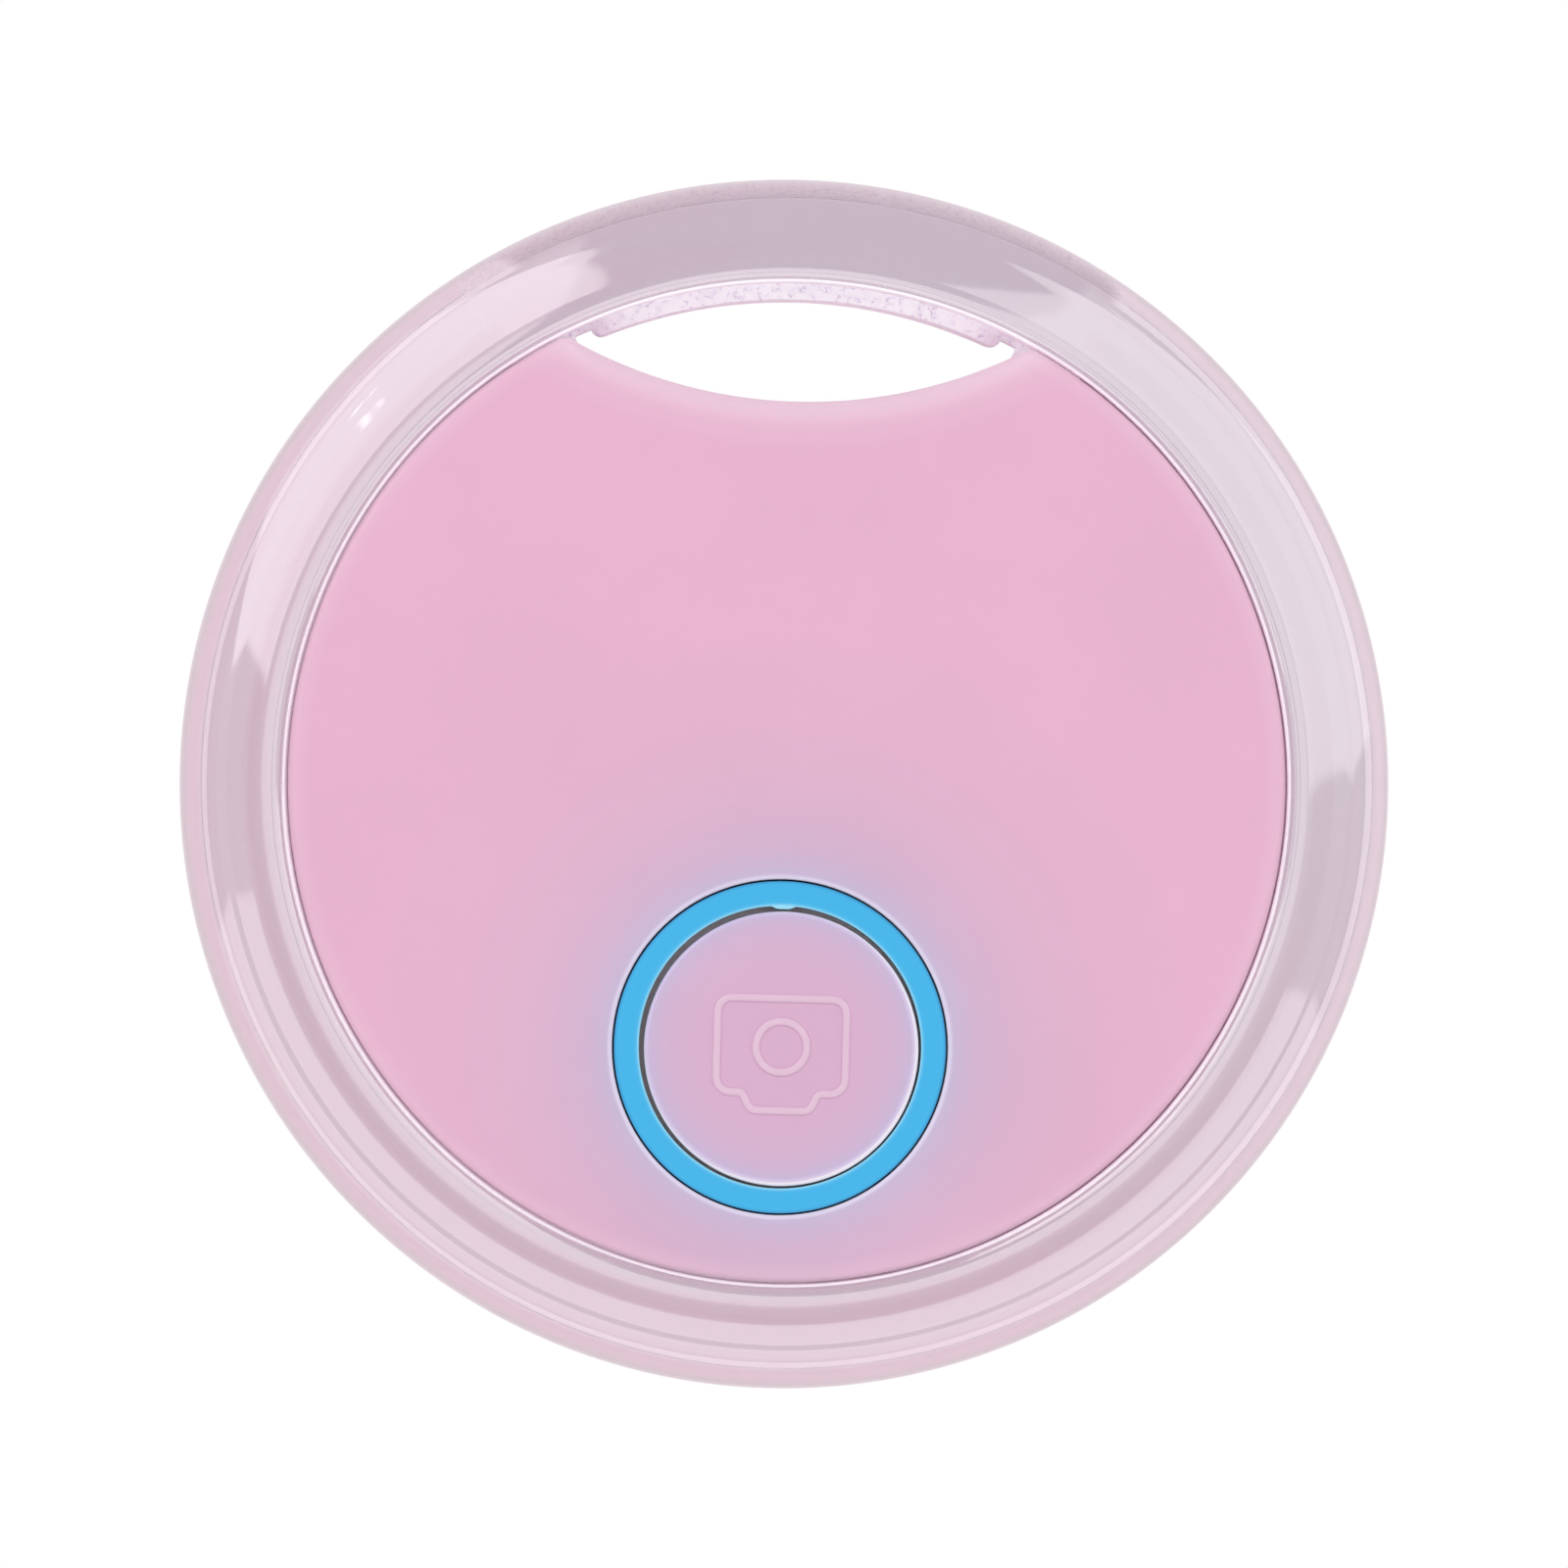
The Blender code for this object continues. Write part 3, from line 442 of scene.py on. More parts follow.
def light_guide():
    """Diffusing acrylic, lit from behind by the LEDs. Its sides are masked, as painted guides
    are, so that only the front glows, and their dark colour is painted shade in the gap round
    the button. The front's edges have a painted highlight inside and painted shade outside."""
    shader = Shader("light_guide", Roughness=0.5, Emission_Strength=0.68)
    reach = shader.radius(BUTTON)
    # Painted highlight on the glowing front's inner edge and painted shade along its outer edge.
    lit = shader.ramp(
        reach,
        [(4.42, srgb(150, 220, 246)), (4.52, srgb(60, 178, 230)), (4.6, srgb(46, 174, 227)),
         (5.1, srgb(46, 174, 227)), (5.16, srgb(42, 160, 214)), (5.21, srgb(34, 122, 176))],
        4.3, 5.4,
    )
    front = shader.ramp(shader.height(), [(3.9, 0.0), (3.94, 1.0)], 3.8, 4.0)
    shader.feed("Emission Color", shader.mix(front, (0, 0, 0), lit))
    body = shader.mix(0.7, lit, (0, 0, 0))
    # The sides' dark colour is painted shade for the gap round the button.
    shader.feed("Base Color", shader.mix(front, srgb(34, 18, 46), body))
    shader.bump(shader.noise(6000, 3), 0.000006, 0.3)
    return shader.material


# Pieces ----------------------------------------------------------------------------------


def ring_section(angle):
    """The clear ring's section at an angle round the disc, as (radius, z) points."""
    offset = abs((math.degrees(angle) - 90 + 180) % 360 - 180)
    from_top = offset * math.pi / 180 * EYE_RADIUS / MM
    bore, flange, open_flange = 15.70, 14.95, 15.5
    pad_thick, pad_flare = 0.33, 1.1
    inner, half = flange, 0.5
    if from_top < FLANGE_END:
        inner = open_flange
    if from_top < PAD_END:
        corner = min(1.0, (PAD_END - from_top) / pad_thick)
        inner = open_flange - pad_thick * math.sqrt(1 - (1 - corner) ** 2)
        side = min(1.0, (PAD_END - from_top) / pad_flare)
        half = 0.5 + pad_flare * math.sqrt(1 - (1 - side) ** 2)
    # The front, outwards: a stepped lead-in at the bore, a gentle crown, and the round rim.
    lead_width, top, crown_steps, rim_steps = 0.33, 3.8, 10, 24
    crease_r, crease_z, tip, squareness = 17.65, 3.56, 19.0, 0.92
    outer = [
        (bore, 3.58), (bore + 0.015, 3.64), (bore + 0.05, 3.685), (bore + 0.1, 3.7),
        (bore + 0.15, 3.705), (bore + 0.17, 3.73), (bore + 0.21, 3.765), (bore + 0.26, 3.79),
        (bore + lead_width, top),
    ]
    for i in range(1, crown_steps + 1):
        t = i / crown_steps
        r = bore + lead_width + (crease_r - bore - lead_width) * t
        outer.append((r, top - (top - crease_z) * t**1.9))
    for i in range(1, rim_steps + 1):
        a = math.pi / 2 * i / rim_steps
        r = crease_r + (tip - crease_r) * math.sin(a) ** squareness
        outer.append((r, crease_z * math.cos(a) ** squareness if i < rim_steps else 0.0))
    lower = [(r, -z) for r, z in reversed(outer[:-1])]
    soft = 0.12
    rim = [(bore, -half - 0.02), (inner + soft, -half), (inner + soft * 0.3, -half + soft * 0.3),
           (inner, -half + soft), (inner, -half * 0.4), (inner, half * 0.4),
           (inner, half - soft), (inner + soft * 0.3, half - soft * 0.3), (inner + soft, half),
           (bore, half + 0.02)]
    return [(r * MM, z * MM) for r, z in outer + lower + rim]


def bumper_ring():
    """The clear ring, with extra sections where the pad and the open flange end."""
    sections = 240
    angles = [TURN * i / sections for i in range(sections)]
    for edge in (PAD_END, FLANGE_END):
        for step in (-1.1, -0.8, -0.5, -0.33, -0.25, -0.17, -0.1, -0.05, -0.02, 0.0, 0.02):
            offset = (edge + step) * MM / EYE_RADIUS
            angles += [math.pi / 2 - offset, math.pi / 2 + offset]
    angles = sorted(set(round(a, 6) for a in angles))
    work = bmesh.new()
    loops = []
    for angle in angles:
        c, s = math.cos(angle), math.sin(angle)
        loops.append(add_loop(work, [(r * c, r * s, z) for r, z in ring_section(angle)]))
    skin(work, loops, closed=True)
    for face in work.faces:
        middle = face.calc_center_median()
        reach = math.hypot(middle.x, middle.y)
        lead_in = reach < 15.8 * MM and middle.z > 3.5 * MM
        pad = reach < 15.7 * MM and middle.y > 13 * MM
        face.material_index = 1 if pad else 2 if lead_in else 0
    return piece(
        "bumper_ring", work, "casing",
        [
            clear_plastic(),
            # Both sanded materials glow with painted light; the lead-in's glow is a painted
            # highlight on the bore's edge.
            sanded_plastic(
                "sanded_pad",
                [(0.35, srgb(198, 187, 208)), (0.45, srgb(242, 236, 245)), (0.6, (1, 1, 1))], 0.6,
                0.17,
            ),
            sanded_plastic("lead_in", [(0.3, srgb(244, 234, 244)), (0.7, (1, 1, 1))], 0.1, 0.22),
        ],
        ["clear_ring"],
    )


def rounded_shell(work, outer_z, parting_z, disc_fillet, bite_fillet, steps=8):
    """The outer wall of one casing half, with a rounded edge that is wider along the bite.
    Returns the loops at the parting plane and at the edge of the flat face."""
    plain = body_outline()
    reach = 0.7 * MM
    inner = body_outline(reach)
    sign = 1 if outer_z > 0 else -1
    radii = []
    for x, y in plain:
        share = (math.hypot(x, y) - BODY_RADIUS) / (-0.5 * MM)
        share = max(0.0, min(1.0, share)) if y > 0 else 0.0
        radii.append(disc_fillet + (bite_fillet - disc_fillet) * share)
    loops = [add_loop(work, [(x, y, parting_z) for x, y in plain])]
    for k in range(steps + 1):
        a = math.pi / 2 * k / steps
        points = []
        for (x0, y0), (x1, y1), radius in zip(plain, inner, radii):
            t = radius * (1 - math.cos(a)) / reach
            z = outer_z - sign * radius * (1 - math.sin(a))
            points.append((x0 + (x1 - x0) * t, y0 + (y1 - y0) * t, z))
        loops.append(add_loop(work, points))
    skin(work, loops)
    return loops[0], loops[-1]


def hollow_inside(work, floor_z, parting, *holes):
    """The inside of a casing half: its floor, with holes, and its side wall."""
    parting_z = parting[0].co.z
    inner = [add_loop(work, at_height(body_outline(WALL), z)) for z in (floor_z, parting_z)]
    flat_fill(work, inner[0], *holes)
    skin(work, [*inner, parting])


def front_shell():
    work = bmesh.new()
    parting, face_edge = rounded_shell(work, FACE_Z, PARTING_Z, 0.22 * MM, 0.55 * MM)
    edge = 0.1 * MM
    hole = lathe(
        work,
        [*fillet(BUTTON_HOLE + edge, FACE_Z, BUTTON_HOLE, FACE_Z - edge, 5, "side"),
         (BUTTON_HOLE, ROOF_Z)],
        BUTTON,
    )
    flat_fill(work, face_edge, hole[0])
    hollow_inside(work, ROOF_Z, parting, hole[-1])
    for centre in SCREWS:
        lathe(
            work,
            [(1.35 * MM, ROOF_Z + 0.1 * MM), (1.35 * MM, -0.92 * MM), (1.27 * MM, -MM),
             (0.68 * MM, -MM), (0.6 * MM, -0.92 * MM), (0.6 * MM, 1.9 * MM)],
            centre, 32,
        )
    # Painted light: the light ring's lilac spill, strongest by the button hole and fading out to 13
    # mm, with a painted highlight on the hole's rounded edge.
    glow = [
        (0.0, (208, 187, 219)), (5.26, (232, 226, 246)), (5.36, (230, 218, 242)),
        (5.44, (206, 188, 220)), (5.75, (211, 186, 217)), (6.2, (217, 183, 213)),
        (6.9, (222, 182, 211)), (8.0, (228, 182, 210)), (10.5, (234, 181, 210)),
        (13.0, (237, 182, 211)),
    ]
    return piece(
        "front_face", work, "casing", [pink_plastic("pink_front", glow, face=True)],
        ["front_shell"],
    )


def thread_lugs(work, inner, outer, middle_z, lugs=3, steps=20):
    """Thread lugs or ribs, each climbing as it turns, with tapered ends."""
    for lug in range(lugs):
        loops = []
        for i in range(steps + 1):
            t = 2 * i / steps - 1
            angle = TURN * lug / lugs + LUG_HALF_ANGLE * t
            z = middle_z + THREAD_LEAD * LUG_HALF_ANGLE * t / TURN
            thick = LUG_HALF_THICK * (1 - 0.45 * max(0.0, abs(t) - 0.8) / 0.2)
            section = (
                (inner, z - thick), (outer, z - thick), (outer, z + thick), (inner, z + thick),
            )
            loops.append(add_loop(work, [(*circle_point(CELL, r, angle), h) for r, h in section]))
        skin(work, loops)
        work.faces.new(loops[0])
        work.faces.new(loops[-1])


def rear_shell():
    work = bmesh.new()
    parting, face_edge = rounded_shell(work, -FACE_Z, -PARTING_Z, 0.35 * MM, 0.55 * MM)
    floor_z = -2.2 * MM
    seat = lathe(
        work,
        [*fillet(12.65 * MM, -FACE_Z, 12.55 * MM, -FACE_Z + 0.1 * MM, 5, "side"),
         (12.55 * MM, -2.95 * MM), (11.9 * MM, -2.95 * MM), (11.8 * MM, -2.85 * MM),
         (11.8 * MM, 0.6 * MM), (11.85 * MM, 0.65 * MM), (12.45 * MM, 0.65 * MM),
         (12.5 * MM, 0.6 * MM), (12.5 * MM, floor_z)],
        CELL, 192,
    )
    recesses, ways = [], []
    for centre in SCREWS:
        loops = lathe(
            work,
            [*fillet(1.5 * MM, -FACE_Z, 1.4 * MM, -FACE_Z + 0.1 * MM, 4, "side"),
             (1.4 * MM, -2.7 * MM), (0.85 * MM, -2.7 * MM), (0.85 * MM, floor_z)],
            centre, 48,
        )
        recesses.append(loops[0])
        ways.append(loops[-1])
    # Two index marks beside the cover: a closed dot and an open ring.
    marks = []
    depth = -FACE_Z + 0.08 * MM
    for degrees, inner in ((-60, 0.0), (-90, 0.22 * MM)):
        centre = circle_point(CELL, 13.15 * MM, math.radians(degrees))
        loops = lathe(
            work, fillet(0.38 * MM, -FACE_Z, 0.32 * MM, depth, 3, "side"), centre, 32,
        )
        marks.append(loops[0])
        if inner:
            island = lathe(work, [(inner, depth), (inner - 0.03 * MM, -FACE_Z)], centre, 32)
            flat_fill(work, loops[-1], island[0])
            flat_fill(work, island[-1])
        else:
            flat_fill(work, loops[-1])
    flat_fill(work, face_edge, seat[0], *recesses, *marks)
    hollow_inside(work, floor_z, parting, seat[-1], *ways)
    thread_lugs(work, 11.15 * MM, 11.95 * MM, -2.25 * MM)
    return piece(
        "rear_case", work, "casing", [pink_plastic("pink_rear")], ["rear_shell"],
    )


def battery_cover():
    work = bmesh.new()
    low, edge = -3.9 * MM, 0.12 * MM
    bay, skirt, rim = 10.35 * MM, 11.0 * MM, 12.4 * MM
    groove = 10.9 * MM
    outside = lathe(
        work,
        [(bay, -3.1 * MM), (bay, -1.02 * MM), (bay + 0.07 * MM, -0.95 * MM),
         (skirt - 0.07 * MM, -0.95 * MM), (skirt, -1.02 * MM), (skirt, -3.5 * MM),
         (rim - 0.05 * MM, -3.5 * MM), (rim, -3.55 * MM), (rim, low + edge),
         *fillet(rim, low + edge, rim - edge, low, 5, "end")[1:],
         (groove + 0.2 * MM, low), (groove + 0.14 * MM, low + 0.08 * MM),
         (groove - 0.14 * MM, low + 0.08 * MM), (groove - 0.2 * MM, low)],
        CELL, 192,
    )
    flat_fill(work, outside[0])
    length, width, deep = 6.5 * MM, 0.85 * MM, 0.42 * MM
    slot_loops = []
    for grow, z in ((0.12, low), (0.04, low + 0.04 * MM), (0.0, low + 0.12 * MM),
                    (0.0, low + deep - 0.15 * MM), (-0.05, low + deep - 0.04 * MM),
                    (-0.15, low + deep)):
        half = width + grow * MM
        end = length + grow * MM
        line = rounded([(end, half, half * 0.98), (-end, half, half * 0.98),
                        (-end, -half, half * 0.98), (end, -half, half * 0.98)], 10)
        slot_loops.append(add_loop(work, [(x + CELL[0], y + CELL[1], z) for x, y in line]))
    skin(work, slot_loops)
    flat_fill(work, slot_loops[-1])
    # A small index triangle, sunk beside the groove.
    down = math.radians(-90)
    middle = Vector(circle_point(CELL, 9.7 * MM, down))
    arrow = []
    for grow, z in ((0.04, low), (0.0, low + 0.03 * MM), (-0.02, low + 0.1 * MM)):
        size = (0.75 + grow) * MM
        corners = [
            (*circle_point(middle, size, down + TURN * k / 3), 0.1 * MM) for k in range(3)
        ]
        arrow.append(add_loop(work, at_height(rounded(corners, 4), z)))
    skin(work, arrow)
    flat_fill(work, arrow[-1])
    flat_fill(work, outside[-1], slot_loops[0], arrow[0])
    thread_lugs(work, 10.9 * MM, 11.65 * MM, -1.63 * MM)
    return piece(
        "coin_cover", work, "cover", [pink_plastic("pink_cover")],
        ["battery_cover"],
    )


def cover_seal():
    """A soft ring with four fine sealing lips."""
    work = bmesh.new()
    section, points = [], 32
    for i in range(points):
        a = TURN * i / points
        thick = 0.235 + 0.025 * max(0.0, math.cos(4 * a)) ** 3
        section.append(((12.1 + thick * math.cos(a)) * MM, (-3.22 + thick * math.sin(a)) * MM))
    lathe(work, section, CELL, 160, closed=True)
    shader = Shader("seal_silicone", srgb(214, 214, 218), Roughness=0.55, IOR=1.41)
    shader.feed("Roughness", shader.ramp(shader.noise(3000, 3), [(0.3, 0.5), (0.7, 0.66)]))
    return piece("seal_ring", work, "seal", [shader.material], ["cover_seal"])


def camera_line():
    """Middle line of a generic camera pictogram, upside down: a box, with a hump below."""
    half, top, bottom = 2.02 * MM, 1.58 * MM, -1.38 * MM
    hump_bottom, hump_wide, hump_narrow = -1.94 * MM, 1.2 * MM, 0.93 * MM
    corner, small = 0.45 * MM, 0.2 * MM
    return rounded([
        (-half, top, corner), (-half, bottom, corner), (-hump_wide, bottom, small),
        (-hump_narrow, hump_bottom, small * 1.6), (hump_narrow, hump_bottom, small * 1.6),
        (hump_wide, bottom, small), (half, bottom, corner), (half, top, corner),
    ])


def button_cap():
    top, radius, edge = FACE_Z + 0.12 * MM, 4.3 * MM, 0.12 * MM
    work = bmesh.new()
    loops = lathe(
        work,
        [*fillet(radius - edge, top, radius, top - edge, 6, "side"), (radius, 2.95 * MM),
         (4.8 * MM, 2.95 * MM), (4.85 * MM, 2.9 * MM), (4.85 * MM, 2.5 * MM), (3.3 * MM, 2.5 * MM),
         (3.3 * MM, 3.1 * MM), (0.9 * MM, 3.1 * MM), (0.9 * MM, 2.5 * MM)],
        CAP_CENTRE, 160,
    )
    flat_fill(work, loops[0])
    flat_fill(work, loops[-1])
    half, height = 0.135 * MM, 0.08 * MM
    section = [(-half, -0.05 * MM), (-half, 0.01 * MM), (-half * 0.72, height * 0.75),
               (-half * 0.35, height), (half * 0.35, height), (half * 0.72, height * 0.75),
               (half, 0.01 * MM), (half, -0.05 * MM)]
    lens = arc((0, 0.06 * MM), 0.8 * MM, 0, TURN, 64)[:-1]
    for line in (resample(camera_line(), 0.06 * MM), lens):
        moved = [(x + CAP_CENTRE[0], y + CAP_CENTRE[1]) for x, y in line]
        stroke(work, moved, section, top)
    # Painted light: the cap darker and bluer towards its edge from the light ring's spill, and a
    # painted highlight on its rounded rim.
    glow = [
        (0.0, (224, 180, 210)), (1.4, (224, 181, 211)), (2.6, (223, 181, 212)),
        (3.3, (220, 182, 213)), (3.8, (214, 184, 216)), (4.1, (208, 186, 220)),
        (4.14, (212, 194, 228)), (4.22, (222, 208, 238)), (4.27, (254, 246, 255)),
    ]
    return piece(
        "push_button", work, "button",
        [pink_plastic("pink_button", glow, icon=True)], ["button_cap"],
    )


def light_ring():
    """The light guide, with a small locating key inside it at twelve o'clock."""
    top, shoulder, rim = FACE_Z - 0.05 * MM, ROOF_Z - 0.1 * MM, 5.21 * MM
    edge, sections, key_height, key_half_width = 0.04 * MM, 360, 0.1, 0.33
    work = bmesh.new()
    loops = []
    for k in range(sections):
        angle = TURN * k / sections
        across = abs((angle - math.pi / 2) * LIGHT_BORE / MM) / key_half_width
        bore = (LIGHT_BORE / MM - key_height * max(0.0, 1 - across**3) ** 0.5) * MM
        section = [
            (bore, 3.1 * MM), (bore, top - edge), (bore + edge * 0.3, top - edge * 0.3),
            (bore + edge, top), (rim - edge, top), (rim - edge * 0.3, top - edge * 0.3),
            (rim, top - edge), (rim, shoulder), (6.1 * MM, shoulder),
            (6.15 * MM, shoulder - 0.05 * MM), (6.15 * MM, 2.3 * MM), (5.0 * MM, 2.3 * MM),
            (5.0 * MM, 3.1 * MM),
        ]
        loops.append(add_loop(work, [(*circle_point(BUTTON, r, angle), z) for r, z in section]))
    skin(work, loops, closed=True)
    return piece("lit_ring", work, "casing", [light_guide()], ["light_ring"])


def metal(name, colour, roughness, turned=False):
    """Metal with fine lines along X, or with rings round the coin cell's axis."""
    shader = Shader(name, colour, Metallic=1.0, Roughness=roughness)
    if turned:
        streak = shader.node(
            "TexNoise", {"W": shader.radius(CELL), "Scale": 14.0, "Detail": 4.0},
            noise_dimensions="1D",
        ).outputs["Fac"]
    else:
        streak = shader.noise(900, 4, 0.6, (0.15, 1, 1))
    rough = shader.ramp(streak, [(0.3, roughness - 0.08), (0.7, roughness + 0.14)])
    shader.feed("Roughness", rough)
    darker = [c * 0.9 for c in colour]
    shader.feed("Base Color", shader.ramp(streak, [(0.3, darker), (0.7, colour)]))
    shader.bump(streak, 0.000004, 0.4)
    return shader.material


def screws(steel):
    """Round-headed screws with a cross recess."""
    for side, centre in zip(("left", "right"), SCREWS):
        work = bmesh.new()
        head, shank, head_top = 1.2 * MM, 0.5 * MM, -3.45 * MM
        loops = lathe(
            work,
            [(0.95 * MM, head_top), (1.1 * MM, head_top + 0.06 * MM), (head, head_top + 0.2 * MM),
             (head, -2.78 * MM), (head - 0.03 * MM, -2.75 * MM), (shank, -2.75 * MM),
             (shank, 1.1 * MM), (shank * 0.4, 1.6 * MM)],
            centre, 48,
        )
        flat_fill(work, loops[-1])
        arm, wide = 0.72 * MM, 0.16 * MM
        cross = [
            (arm, wide), (wide, wide), (wide, arm), (-wide, arm), (-wide, wide), (-arm, wide),
            (-arm, -wide), (-wide, -wide), (-wide, -arm), (wide, -arm), (wide, -wide),
            (arm, -wide),
        ]
        turn = 0.4 if side == "left" else 1.1
        recess = []
        for scale, z in ((1.0, head_top), (0.8, head_top + 0.4 * MM)):
            points = []
            for x, y in cross:
                u = scale * (x * math.cos(turn) - y * math.sin(turn))
                v = scale * (x * math.sin(turn) + y * math.cos(turn))
                points.append((centre[0] + u, centre[1] + v, z))
            recess.append(add_loop(work, points))
        skin(work, recess)
        flat_fill(work, recess[-1])
        flat_fill(work, loops[0], recess[0])
        piece(f"screw_{side}", work, "casing", [steel], [f"case_screw_{side}"])


bumper_ring()
front_shell()
rear_shell()
battery_cover()
cover_seal()
button_cap()
light_ring()
STEEL = metal("steel", (0.72, 0.71, 0.70), 0.28)
screws(STEEL)


# Finishes of the inner pieces -------------------------------------------------------------


def tipped(node, body_colour, roughness):
    """A chip package with plated ends: a resistor or a capacitor."""
    low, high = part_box(node)
    size = high - low
    axis = 0 if size.x > size.z else 2
    middle = (low + high) / 2
    shader = Shader(node, body_colour, Roughness=roughness)
    offset = shader.node("VectorMath", {0: shader.place, 1: tuple(-middle)}, operation="ADD")
    parts = shader.node("SeparateXYZ", {0: offset.outputs[0]}).outputs[axis]
    along = shader.math("MULTIPLY", shader.math("ABSOLUTE", parts), 1 / MM)
    plated = shader.ramp(along, [(0.52, 0.0), (0.56, 1.0)], 0.4, 0.8)
    darker = [c * 0.85 for c in body_colour]
    mottle = shader.ramp(shader.noise(5000, 3), [(0.3, darker), (0.7, body_colour)])
    shader.feed("Base Color", shader.mix(plated, mottle, (0.72, 0.70, 0.66)))
    shader.feed("Metallic", plated)
    return shader.material


def speckled(name, colour, roughness):
    """A matt material with a fine grain, 15 per cent darker and lighter than its colour."""
    shader = Shader(name, colour, Roughness=roughness)
    grain = shader.noise(4000, 4, 0.6)
    spread = 0.15
    dark, light = [c * (1 - spread) for c in colour], [min(1, c * (1 + spread)) for c in colour]
    shader.feed("Base Color", shader.ramp(grain, [(0.35, dark), (0.65, light)]))
    rough = shader.ramp(grain, [(0.3, roughness - 0.06), (0.7, roughness + 0.08)])
    shader.feed("Roughness", rough)
    shader.bump(grain, 0.000008, 0.3)
    return shader.material


def board():
    """Green solder mask over faint copper tracks."""
    shader = Shader("board", (0.02, 0.15, 0.07), Roughness=0.35)
    upright = {"Vector": shader.place, "Rotation": (math.pi / 2, 0, 0)}
    tracks = shader.node(
        "TexBrick",
        {"Vector": shader.node("Mapping", upright).outputs[0], "Scale": 260.0,
         "Mortar Size": 0.012, "Color1": (0.02, 0.16, 0.07, 1),
         "Color2": (0.022, 0.17, 0.08, 1), "Mortar": (0.05, 0.27, 0.10, 1)},
    )
    shader.feed("Base Color", tracks.outputs["Color"])
    shader.bump(tracks.outputs["Fac"], 0.00002, 0.5)
    return shader.material


GOLD = metal("plated_bronze", (0.86, 0.64, 0.30), 0.25)
CAN = metal("cell_can", (0.74, 0.73, 0.71), 0.24, turned=True)
FINISHES = {
    "circuit_board": board(),
    "bluetooth_chip": speckled("chip_epoxy", (0.025, 0.025, 0.028), 0.5),
    "buzzer_inductor": speckled("inductor_resin", (0.05, 0.05, 0.055), 0.6),
    "switch_base": speckled("switch_housing", (0.03, 0.03, 0.032), 0.45),
    "switch_plunger": speckled("plunger_plastic", (0.75, 0.74, 0.70), 0.5),
    "crystal": STEEL, "switch_frame": STEEL,
    "cell_can": CAN, "cell_cap": CAN,
    "cell_gasket": speckled("gasket_nylon", (0.55, 0.55, 0.53), 0.5),
    "piezo_plate": metal("brass", (0.80, 0.58, 0.25), 0.3),
    "piezo_ceramic": speckled("piezo_ceramic", (0.72, 0.70, 0.64), 0.5),
    "piezo_adhesive": speckled("adhesive_foam", (0.80, 0.80, 0.77), 0.8),
    "chip_antenna": speckled("antenna_ceramic", (0.70, 0.72, 0.74), 0.4),
    "negative_contact": GOLD, "positive_contact_left": GOLD, "positive_contact_right": GOLD,
    "piezo_lead_red": speckled("red_insulation", (0.45, 0.01, 0.01), 0.4),
    "piezo_lead_black": speckled("black_insulation", (0.02, 0.02, 0.02), 0.4),
}
LED = speckled("led_resin", (0.78, 0.78, 0.62), 0.25)
for i in range(4):
    FINISHES[f"led_{i + 1}"] = LED
    FINISHES[f"capacitor_{i + 1}"] = tipped(f"capacitor_{i + 1}", (0.32, 0.20, 0.11), 0.5)
for i in range(3):
    FINISHES[f"resistor_{i + 1}"] = tipped(f"resistor_{i + 1}", (0.02, 0.02, 0.025), 0.4)
for node, material in FINISHES.items():
    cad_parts[node].material_slots[0].material = material


def snap_dome():
    """The switch's dome, which flattens as the button is pressed; here it is built in its rest
    shape, with a mesh of its own.
    """
    work = bmesh.new()
    rim, rise, thick, low, steps = 1.3 * MM, 0.22 * MM, 0.05 * MM, 1.68 * MM, 8
    shares = [i / steps for i in range(1, steps + 1)]
    under = [(rim * share, low + rise * (1 - share * share)) for share in shares]
    over = [(r, z + thick) for r, z in reversed(under)]
    loops = lathe(work, under + over, CAP_CENTRE, 48)
    flat_fill(work, loops[0])
    flat_fill(work, loops[-1])
    dome = piece("snap_dome", work, "casing", [STEEL], ["switch_dome"])
    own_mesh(dome)


snap_dome()


# Stage, light and camera -----------------------------------------------------------------

CENTRE = Vector((0, 0, -EYE_RADIUS))
FLOOR_BELOW = 0.33  # far enough below the tag to stay out of the main view

floor_mesh = bpy.data.meshes.new("floor")
reach, floor_z = 8.0, cad_low.z - FLOOR_BELOW
floor_mesh.from_pydata(
    [(-reach, -reach, floor_z), (reach, -reach, floor_z), (reach, reach, floor_z),
     (-reach, reach, floor_z)],
    [], [(0, 1, 2, 3)],
)
floor = bpy.data.objects.new("floor", floor_mesh)
bpy.context.scene.collection.objects.link(floor)
paper = Shader("paper", (0.9, 0.9, 0.9), Roughness=0.8)
paper.bump(paper.noise(400, 4), 0.0002, 0.2)
floor_mesh.materials.append(paper.material)
floor.visible_glossy = floor.visible_transmission = False


def fill_light(name, off, around, size, radiance):
    """A square light on matt surfaces only, off degrees from the front axis and around degrees
    from +X. radiance is its brightness where 1 is white."""
    off, around, distance = math.radians(off), math.radians(around), 0.3
    toward = Vector((
        math.sin(off) * math.cos(around), -math.cos(off), math.sin(off) * math.sin(around),
    ))
    light = bpy.data.lights.new(name, "AREA")
    light.size = size
    light.energy = radiance * math.pi * size * size
    lamp = bpy.data.objects.new(name, light)
    lamp.location = CENTRE + toward * distance
    lamp.rotation_euler = toward.to_track_quat("Z", "Y").to_euler()
    lamp.visible_camera = lamp.visible_glossy = lamp.visible_transmission = False
    bpy.context.scene.collection.objects.link(lamp)


fill_light("fill_left", 36, 138, 0.3, 0.6)
fill_light("fill_right", 40, 40, 0.3, 0.45)

